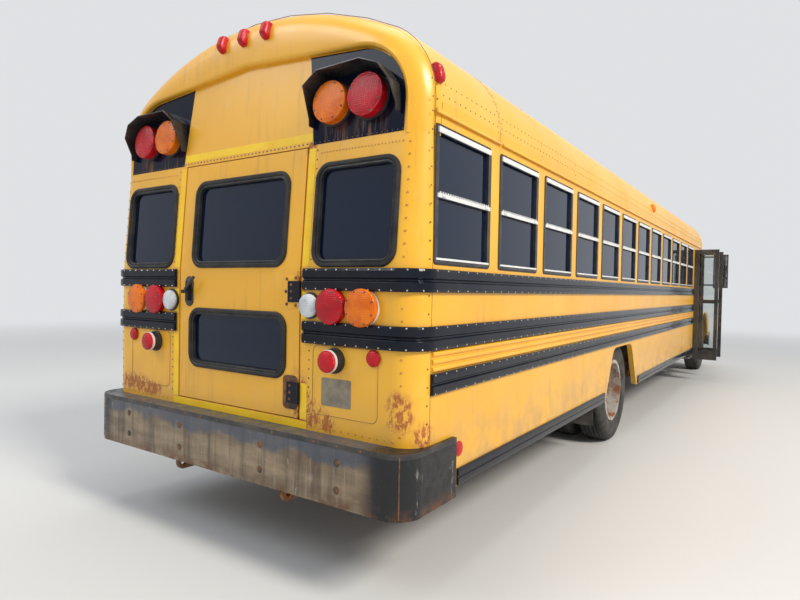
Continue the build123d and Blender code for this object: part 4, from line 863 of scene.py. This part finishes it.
strip, bolts, welds = Shape(), Shape(), Shape()
path = []
for side in (-1, 1):
    arc = [Vector((*bumper_bend(side, radians(90 * i / 8)), 0)) for i in range(9)]
    arc.append(Vector((side * BUMPER_HALF, REAR + 0.345, 0)))
    path = list(reversed(arc)) if side < 0 else path + arc
ups = []
for i, p in enumerate(path):
    before, after = path[max(0, i - 1)], path[min(len(path) - 1, i + 1)]
    along = (after - before).normalized()
    ups.append(Vector((along.y, -along.x, 0)))
top = [Vector((p.x, p.y, BUMPER_HIGH - 0.012)) for p in path]
strip.sweep(top, [(-0.013, -0.001), (-0.013, 0.001), (-0.008, 0.002), (0.009, 0.002), (0.0125, 0.001),
                  (0.0125, -0.001)], ups)
for i in range(15):
    x = -1.0 + 2.0 * i / 14
    bolts.rivet((x, BUMPER_Y - 0.001, BUMPER_HIGH - 0.012), (0, -1, 0), 0.0075, 0.003)
for x in (-0.86, -0.34, 0.34, 0.86):
    for z in (0.53, 0.66):
        bolts.lathe([(0.02, -0.002), (0.02, 0.0), (0.013, 0.0005), (0.013, 0.003), (0.009, 0.004)],
                    (x, BUMPER_Y, z), (0, -1, 0), 8)
for side in (-1, 1):
    a = radians(38)
    x, y = bumper_bend(side, a)
    out = Vector((side * sin(a), -cos(a), 0))
    weld = [Vector((x, y, BUMPER_LOW + 0.01 + 0.28 * i / 20)) + out * (0.001 + 0.0012 * (i % 2))
            for i in range(21)]
    welds.rod(weld, 0.003, out, 6)
welds.make("bumper_welds", "frame_black", slot="bumper_black")
strip.make("bumper_strip", "trim_black", slot="bumper_black")
bolts.make("bumper_bolts", "frame_black", slot="rusted_steel")

# Black rails along the skirt's lower edge, between the wheels
shape = Shape()
section = [(-0.042, -0.001), (-0.042, 0.01), (-0.034, 0.014), (-0.008, 0.014), (-0.004, 0.008)]
section += [(-a, out) for a, out in reversed(section)]
for side in (-1, 1):
    for a, b in ((REAR + 0.4, REAR_AXLE - ARCH_HALF), (REAR_AXLE + ARCH_HALF, RAIL_END)):
        shape.sweep([(side * HALF, a, SKIRT_RAIL_Z), (side * HALF, b, SKIRT_RAIL_Z)], section, (side, 0, 0))
shape.make("skirt_rail_trim", "rail_black", slot="rail_black")

# Marker lamps: three red on the rear cap, three amber on the front cap, and one at each end of the haunches
FRONT_SLOPE = 0.26 / (ROOF + 0.05 - 1.5)


def on_front(x, z, out=0.0):
    return Vector((x, FRONT - FRONT_SLOPE * (z - 1.5) + out, z))


def marker(shape, base, out, wide, high, deep):
    """A small wedge lamp with a rounded face on a flat base."""
    out = Vector(out).normalized()
    flat = Vector((0, 0, 1)).cross(out)
    flat = flat.normalized() if flat.length > 0.1 else Vector((1, 0, 0))
    tall = out.cross(flat)
    rings = []
    for share, lift in ((1.0, -0.02), (1.0, 0.01), (0.94, 0.022), (0.74, deep * 0.85), (0.45, deep),
                        (0.1, deep)):
        outline = rounded(-wide / 2 * share, wide / 2 * share, -high / 2 * share, high / 2 * share,
                          0.24 * wide * share, 3)
        rings.append([Vector(base) + flat * a + tall * b + out * lift for a, b in outline])
    shape.rings(rings)


red_marks, amber_marks = Shape(), Shape()
for x in (-0.18, 0.0, 0.18):
    marker(red_marks, (x, REAR + UPRIGHT + 0.006, ROOF - 0.11), (0, -1, 0.35), 0.05, 0.096, 0.044)
    marker(amber_marks, on_front(x, ROOF - 0.15, -0.01), (0, 1, 0.35), 0.05, 0.096, 0.044)
for side in (-1, 1):
    turn = radians(17)
    out = (side * cos(turn), 0, sin(turn))
    marker(red_marks, roof_point(17, REAR + 0.165, -0.002, side), out, 0.052, 0.096, 0.036)
    marker(amber_marks, roof_point(17, REAR + 5.2, -0.002, side), out, 0.052, 0.096, 0.036)
    red_marks.lathe([(0.0375, -0.002), (0.0375, 0.006), (0.03, 0.009), (0.008, 0.01)],
                    (side * HALF, REAR + 0.417, 0.675), (side, 0, 0), 24)
red_marks.make("red_marker_lamps", "red_lens", slot="red_lens", smooth=50)
amber_marks.make("amber_marker_lamps", "amber_lens", slot="amber_lens", smooth=50)

# Warning lamps and visors of the front cap, like those behind
front_out = Vector((0, 1, FRONT_SLOPE)).normalized()
front_faces = {"red": Shape(), "amber": Shape()}
front_face = [(0.1025, -0.002), (0.1025, 0.03), (0.098, 0.034), (0.06, 0.04), (0.01, 0.042)]
shape, hoods = Shape(), Shape()
for side in (-1, 1):
    for kind, x in (("red", 0.9), ("amber", 0.676)):
        base = on_front(side * x, 2.5)
        front_faces[kind].lathe(front_face, base, front_out, 40)
        shape.lathe([(0.101, -0.003), (0.114, -0.003), (0.114, 0.012), (0.104, 0.016)], base, front_out, 40)
    visor(hoods, lambda x, z, side=side: on_front(side * x, z + 0.102), front_out)
for kind, face in front_faces.items():
    face.make(f"front_{kind}_lamps", f"{kind}_lens", slot=f"{kind}_lens", smooth=25)
shape.make("front_lamp_rims", "gasket_rubber", slot="trim_black")
hoods.make("front_lamp_visors", "trim_gloss", slot="rail_black", bevel=0.0012, smooth=30)

# Windshield rubber and wipers
shape = Shape()
for side in (-1, 1):
    path = [on_front(a, b) for a, b in rounded(*ordered(side, 0.02, 1.035), 1.575, 2.305, 0.03, 4)]
    shape.sweep(path, [(-0.014, -0.008), (-0.012, 0.006), (0.012, 0.006), (0.014, -0.008)], front_out,
                closed=True)
shape.make("windshield_rubber", "gasket_rubber", slot="trim_black")
shape = Shape()
for side in (-1, 1):
    foot = on_front(side * 0.62, 1.545, 0.03)
    tip = on_front(side * 0.2, 1.9, 0.022)
    shape.lathe([(0.022, -0.045), (0.022, 0.004), (0.012, 0.012)], foot, front_out, 12)
    shape.rod([foot, foot.lerp(tip, 0.35) + front_out * 0.012, tip], 0.006, front_out, 6)
    shape.rod([on_front(side * 0.36, 1.68, 0.012), tip - front_out * 0.006,
               on_front(side * 0.06, 2.13, 0.012)], 0.007, front_out, 6)
shape.make("wipers", "trim_black", slot="trim_black")

# Headlamps: chrome bezel and a fluted face; amber signals beside them on the fenders
NOSE = 5.69
bezels, lenses, signals = Shape(), Shape(), Shape()
for side in (-1, 1):
    spot = (side * 0.6, NOSE - 0.014, 0.98)
    bezels.lathe([(0.09, 0.002), (0.097, 0.01), (0.108, 0.012), (0.116, 0.004), (0.118, -0.002)], spot,
                 (0, 1, 0), 40)
    rings = [(0.091 * (1 - i / 8) + 0.002, 0.004 + 0.01 * (1 - (1 - i / 8) ** 2)) for i in range(9)]
    lenses.lathe([(0.092, -0.004)] + rings, spot, (0, 1, 0), 40)
    ends = ordered(side, 0.84, 1.01)
    outline = rounded(*ends, 0.935, 1.025, 0.02, 4)
    rings = [[Vector((x, NOSE - deep, z)) for x, z in outline] for deep in (0.112, 0.1)]
    rings.append([Vector((x * 0.99 + ends[0] * 0.005 + ends[1] * 0.005, NOSE - 0.096,
                          0.98 + (z - 0.98) * 0.85))
                  for x, z in outline])
    signals.rings(rings)
bezels.make("headlamp_bezels", "mirror_chrome", "hood", "window_silver")
lenses.make("headlamp_faces", "clear_lens", "hood", "clear_lens")
signals.make("fender_signals", "amber_lens", "hood", "amber_lens")

# Mirror glass on the rear face of each mirror head
shape = Shape()
for side in (-1, 1):
    for low, high in ((1.79, 2.18), (1.62, 1.765)):
        outline = rounded(*ordered(side, 1.425, 1.625), low, high, 0.022, 4)
        shape.prism(outline, lambda a, b, out: Vector((a, FRONT - 0.28 - out, b)), -0.001, 0.003)
shape.make("mirror_glass", "mirror_chrome", slot="window_silver")

# Stop sign: a pale border on both faces, and a red lamp above and below
SIGN_Y, SIGN_Z, SIGN_X = REAR + 8.42, 1.3865, -1.265
border, sign_lamps = Shape(), Shape()
for face, out in ((SIGN_X - 0.01, -1), (SIGN_X, 1)):
    rings = []
    for i in range(8):
        a = radians(22.5 + 45 * i)
        ring = []
        for reach, lift in ((0.24, -0.001), (0.24, 0.0008), (0.222, 0.0008), (0.222, -0.001)):
            ring.append(Vector((face + out * lift, SIGN_Y + reach * cos(a), SIGN_Z + reach * sin(a))))
        rings.append(ring)
    border.rings(rings, closed=True)
    for up in (-0.15, 0.15):
        sign_lamps.lathe([(0.036, -0.001), (0.036, 0.006), (0.024, 0.01), (0.006, 0.011)],
                         (face, SIGN_Y, SIGN_Z + up), (out, 0, 0), 24)
border.make("stop_sign_border", "white_paint", "stop_arm", "hatch_white")
sign_lamps.make("stop_sign_lamps", "red_lens", "stop_arm", "red_lens")

# Rear door: hinge leaves with bolts, handle plate and lever, and a bare grey patch beside the door
plates, hinge_bolts = Shape(), Shape()


def on_low(a, b, out):
    return Vector((a, REAR - out, b))


for z, name, coat in ((1.455, "upper_hinge_leaf", "door_yellow"), (0.93, "lower_hinge_leaf", "hinge_rust")):
    leaf = Shape()
    leaf.prism(rounded(0.392, 0.497, z - 0.088, z + 0.088, 0.026, 4), on_low, -0.001, 0.004)
    leaf.make(name, coat, "rear_door", "rusted_steel", bevel=0.001)
    for x, up in ((0.412, -0.066), (0.412, 0.066), (0.476, -0.072), (0.476, 0.072), (0.405, 0.0)):
        hinge_bolts.rivet((x, REAR - 0.004, z + up), (0, -1, 0), 0.0095, 0.006, 8)
    for up in (-0.035, 0.0, 0.035):
        hinge_bolts.rivet((0.45, REAR - 0.012, z + up), (0, -1, 0), 0.0085, 0.005, 8)
hinge_bolts.make("hinge_bolts", "hinge_rust", "rear_door", "rusted_steel")
plates.prism(rounded(-0.446, -0.374, 1.352, 1.532, 0.035, 6), on_low, -0.001, 0.006)
plates.rod([(-0.41, REAR - 0.028, 1.445), (-0.395, REAR - 0.044, 1.452), (-0.345, REAR - 0.046, 1.5),
            (-0.318, REAR - 0.04, 1.528)],
           0.0095, (0, -1, 0), 8)
plates.make("rear_handle_plate", "trim_gloss", "rear_door", "trim_black", bevel=0.0015)
shape = Shape()
shape.prism(rounded(0.66, 0.85, 0.89, 1.03, 0.01, 3), on_low, -0.001, 0.0012)
shape.make("bare_patch", "patch_grey", slot="rusted_steel")
shape = Shape()
for side in (-1, 1):
    path = [on_low(a, b, 0.0006) for a, b in rounded(*ordered(side, 0.6, 1.01), 0.842, 1.19, 0.035, 4)]
    shape.rod(path, 0.0016, (0, -1, 0), 4, closed=True)
shape.make("rear_panel_seams", "seam_dark", slot="rusted_steel")

# Road tyres in place of the plain ones: ribs with zigzag grooves, notched shoulders, ringed sides
TYRE_SIDE = [
    (0.1016, 0.286), (0.1016, 0.304), (0.118, 0.33), (0.1215, 0.345), (0.1225, 0.352), (0.1262, 0.385),
    (0.127, 0.406), (0.1245, 0.44), (0.1238, 0.446), (0.119, 0.46), (0.112, 0.478),
]
GROOVES = (-0.058, -0.02, 0.02, 0.058)
TYRE_STEPS = 132


def tyre(shape, middle, y):
    rings = []
    for i in range(TYRE_STEPS):
        zig = 0.0035 if (i // 2) % 2 else -0.0035
        notch = 0.009 if i % 3 == 0 else 0.0
        right = [(a, r - (notch if r > 0.47 else 0.0)) for a, r in TYRE_SIDE]
        outline = [(-a, r) for a, r in right]
        outline.append((-0.0914, TYRE_RADIUS - notch))
        for g in GROOVES:
            g += zig
            outline += [(g - 0.005, TYRE_RADIUS), (g - 0.003, 0.488), (g + 0.003, 0.488),
                        (g + 0.005, TYRE_RADIUS)]
        outline += [(0.0914, TYRE_RADIUS - notch), *reversed(right)]
        turn = 2 * pi * i / TYRE_STEPS
        rings.append([Vector((middle + a, y + r * sin(turn), TYRE_RADIUS - r * cos(turn)))
                      for a, r in outline])
    shape.rings(rings, closed=True)


for side, hand in ((-1, "left"), (1, "right")):
    for end, y, middles in (("front", FRONT_AXLE, (1.01,)), ("rear", REAR_AXLE, (1.022, 0.702))):
        shape = Shape()
        for middle in middles:
            tyre(shape, side * middle, y)
        body = f"wheel_front_{hand}" if end == "front" else f"wheels_rear_{hand}"
        node = f"tyre_front_{hand}" if end == "front" else f"tyres_rear_{hand}"
        made = shape.make(f"road_tyres_{end}_{hand}", "tyre", body, "tyre", smooth=40)
        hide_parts(node)

# Seats: each pad is a sewn cover blown up over its foam, simulated once and laid out in rows


def lattice(size, cells):
    """A box of small square faces about its middle."""
    work = bmesh.new()
    spots = {}
    for axis in range(3):
        one, two = [a for a in range(3) if a != axis]
        for end in (0, cells[axis]):
            for u in range(cells[one]):
                for v in range(cells[two]):
                    corner = []
                    for du, dv in ((0, 0), (1, 0), (1, 1), (0, 1)):
                        key = [0, 0, 0]
                        key[axis], key[one], key[two] = end, u + du, v + dv
                        key = tuple(key)
                        if key not in spots:
                            place = [size[a] * (key[a] / cells[a] - 0.5) for a in range(3)]
                            spots[key] = work.verts.new(place)
                        corner.append(spots[key])
                    work.faces.new(corner)
    bmesh.ops.recalc_face_normals(work, faces=work.faces)
    bmesh.ops.smooth_vert(work, verts=work.verts, factor=0.5, use_axis_x=True, use_axis_y=True,
                          use_axis_z=True)
    return work


def padded(size, cells, held, cap=0.013, pressure=4.0, frames=20):
    """Points and faces of one pad; held says which points stay where they are."""
    scene = bpy.context.scene
    work = lattice(size, cells)
    mesh = bpy.data.meshes.new("pad")
    work.to_mesh(mesh)
    work.free()
    start = [v.co.copy() for v in mesh.vertices]
    faces = [tuple(f.vertices) for f in mesh.polygons]
    thing = bpy.data.objects.new("pad", mesh)
    scene.collection.objects.link(thing)
    group = thing.vertex_groups.new(name="held")
    group.add([i for i, p in enumerate(start) if held(p)], 1.0, "REPLACE")
    cloth = thing.modifiers.new("cloth", "CLOTH")
    cloth.settings.use_pressure = True
    cloth.settings.uniform_pressure_force = pressure
    cloth.settings.effector_weights.gravity = 0.0
    cloth.settings.vertex_group_mass = "held"
    cloth.point_cache.frame_start, cloth.point_cache.frame_end = 1, frames
    for number in range(1, frames + 1):
        scene.frame_set(number)
    shown = thing.evaluated_get(bpy.context.evaluated_depsgraph_get())
    moved = [v.co.copy() for v in shown.data.vertices]
    scene.frame_set(1)
    bpy.data.objects.remove(thing)
    result = []
    for a, b in zip(start, moved):
        step = b - a
        result.append(a + step * min(1.0, cap / max(step.length, 1e-6)))
    return result, faces


def seams(points, size, lines, axis, deep=0.006, wide=0.022):
    """Sewn channels across a pad, pulled in at each line along an axis."""
    made = []
    for p in points:
        p = p.copy()
        for line in lines:
            far = abs(p[axis] - line * size[axis])
            if far < wide:
                p.z *= 1 - deep / size[2] * 2 * (1 - far / wide)
                p.y *= 1 - deep / size[1] * (1 - far / wide)
        made.append(p)
    return made


SEAT_FIRST, SEAT_ROWS, SEAT_IN, SEAT_OUT, CUSHION_Z = REAR + 0.42, 11, 0.19, 1.13, 1.25
seat_wide = SEAT_OUT - SEAT_IN - 0.024
cushion_size, back_size = (seat_wide, 0.376, 0.098), (seat_wide, 0.062, 0.688)
cushion, cushion_faces = padded(cushion_size, (22, 9, 3), lambda p: p.z < -0.04)
backrest, backrest_faces = padded(back_size, (22, 2, 16), lambda p: p.z < -0.33)
cushion = seams(cushion, cushion_size, (-0.165, 0.165), 0)
backrest = [Vector((p.x, p.y * (1.0 - 0.16 * max(0.0, p.z / back_size[2])), p.z)) for p in backrest]
cushions, backs = Shape(), Shape()
for side in (-1, 1):
    for i in range(SEAT_ROWS):
        y = SEAT_FIRST + PITCH * i
        middle = side * (SEAT_IN + SEAT_OUT) / 2
        cushions.add([(p.x + middle, p.y + y + 0.285, p.z + CUSHION_Z + 0.062) for p in cushion],
                     cushion_faces)
        backs.add([(p.x + middle, p.y + y + 0.0425, p.z + CUSHION_Z + 0.358) for p in backrest],
                  backrest_faces)


def soften(made):
    smoother = made.modifiers.new("round", "SUBSURF")
    smoother.levels = smoother.render_levels = 1


for shape, name in ((cushions, "seat_cushions"), (backs, "seat_backs")):
    made = shape.make(name, "seat_vinyl", slot="seat_vinyl", smooth=180)
    soften(made)
    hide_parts("seat_pads")
DRIVER_X, DRIVER_Y, DECK = -0.62, REAR + 8.68, 0.95
driver_cushion, faces_a = padded((0.452, 0.452, 0.098), (12, 12, 3), lambda p: p.z < -0.04)
driver_back, faces_b = padded((0.452, 0.074, 0.6), (12, 2, 14), lambda p: p.z < -0.28)
shape = Shape()
shape.add([(p.x + DRIVER_X, p.y + DRIVER_Y + 0.24, p.z + DECK + 0.392) for p in driver_cushion], faces_a)
shape.add([(p.x + DRIVER_X, p.y + DRIVER_Y - 0.05, p.z + DECK + 0.77) for p in driver_back], faces_b)
made = shape.make("driver_pads", "seat_vinyl", slot="seat_vinyl", smooth=180)
soften(made)
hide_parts("driver_seat")
shape = Shape()
shape.lathe([(0.15, 0.0), (0.15, 0.012), (0.088, 0.03), (0.08, 0.24), (0.13, 0.3), (0.13, 0.336)],
            (DRIVER_X, DRIVER_Y + 0.22, DECK), (0, 0, 1), 24)
shape.box((DRIVER_X - 0.2, DRIVER_Y + 0.02, DECK + 0.326), (DRIVER_X + 0.2, DRIVER_Y + 0.44, DECK + 0.346))
shape.box((DRIVER_X - 0.05, DRIVER_Y - 0.01, DECK + 0.33), (DRIVER_X + 0.05, DRIVER_Y + 0.06, DECK + 0.56))
made = shape.make("driver_seat_base", "trim_black", slot="trim_black", bevel=0.004)
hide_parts("driver_seat")

# Stage, light and camera


def pale(name, colour, far_colour):
    """A pale ground that fades into the backdrop's colour far from the object."""
    p = Paint(name)
    p.set(Base_Color=colour, Roughness=0.9)
    flat = p.node("ShaderNodeVectorMath", {0: p.coords}, operation="LENGTH").outputs["Value"]
    glow = p.node("ShaderNodeEmission", {"Color": far_colour})
    fade = p.node("ShaderNodeMixShader", {0: p.span(flat, 8.0, 22.0), 1: p.shader.outputs[0],
                                          2: glow.outputs[0]})
    p.tree.links.new(fade.outputs[0], p.tree.nodes["Material Output"].inputs["Surface"])
    return p.material


BACKDROP = (0.74, 0.755, 0.775)
mesh = bpy.data.meshes.new("floor_sheet")
mesh.from_pydata([(-60, -60, 0), (60, -60, 0), (60, 60, 0), (-60, 60, 0)], [], [(0, 1, 2, 3)])
ground = bpy.data.objects.new("floor_sheet", mesh)
bpy.context.scene.collection.objects.link(ground)
mesh.materials.append(pale("floor_pale", (0.6, 0.6, 0.59), BACKDROP))
ground.location.z = -0.002

world = bpy.data.worlds.new("studio")
bpy.context.scene.world = world
world.use_nodes = True
nodes, link = world.node_tree.nodes, world.node_tree.links.new
light, seen = nodes["Background"], nodes.new("ShaderNodeBackground")
for source, colour, strength in ((light, (0.8, 0.84, 0.9, 1), 0.62), (seen, (*BACKDROP, 1), 1.0)):
    source.inputs[0].default_value, source.inputs[1].default_value = colour, strength
rays, either = nodes.new("ShaderNodeLightPath"), nodes.new("ShaderNodeMixShader")
share = rays.outputs["Is Camera Ray"]
for kind in ("Is Glossy Ray", "Is Transmission Ray"):
    total = nodes.new("ShaderNodeMath")
    total.use_clamp = True
    link(share, total.inputs[0])
    link(rays.outputs[kind], total.inputs[1])
    share = total.outputs[0]
for number, source in enumerate((share, light.outputs[0], seen.outputs[0])):
    link(source, either.inputs[number])
link(either.outputs[0], nodes["World Output"].inputs["Surface"])


def area(name, place, target, size, power, colour=(1, 1, 1)):
    data = bpy.data.lights.new(name, "AREA")
    data.shape, data.size, data.size_y = "RECTANGLE", size[0], size[1]
    data.energy, data.color = power, colour
    thing = bpy.data.objects.new(name, data)
    thing.location = place
    thing.rotation_euler = (Vector(target) - Vector(place)).to_track_quat("-Z", "Y").to_euler()
    bpy.context.scene.collection.objects.link(thing)


area("key", (15, -7, 13), (0.8, -1, 1.4), (5, 5), 3500, (1.0, 0.94, 0.84))
area("fill", (-8, -14.5, 12), (0, -4, 1.4), (9, 7), 900, (0.92, 0.96, 1.0))
area("top", (0, 0, 16), (0, 0, 0), (8, 16), 700)

# The camera was fitted to the photo: focal length and width in its pixels, place, and yaw, pitch and roll
FILM, FOCAL, PICTURE = 36.0, 577.0, 800.0
EYE, EYE_TURNS = (2.6, -7.911, 1.481), (34.17, -1.13, 1.08)
camera = bpy.data.cameras.new("camera")
camera.sensor_width, camera.lens = FILM, FILM * FOCAL / PICTURE
camera.clip_end = 500
seer = bpy.data.objects.new("camera", camera)
yaw, pitch, roll = (radians(turn) for turn in EYE_TURNS)
right, ahead = Vector((cos(yaw), sin(yaw), 0)), Vector((-sin(yaw), cos(yaw), 0))
front_axis = ahead * cos(pitch) + Vector((0, 0, 1)) * sin(pitch)
up = right.cross(front_axis)
across = right * cos(roll) + up * sin(roll)
above = up * cos(roll) - right * sin(roll)
turn = Matrix((across, above, -front_axis)).transposed().to_4x4()
seer.matrix_world = Matrix.Translation(EYE) @ turn
bpy.context.scene.collection.objects.link(seer)
bpy.context.scene.camera = seer
bpy.context.scene.view_settings.view_transform = "Standard"
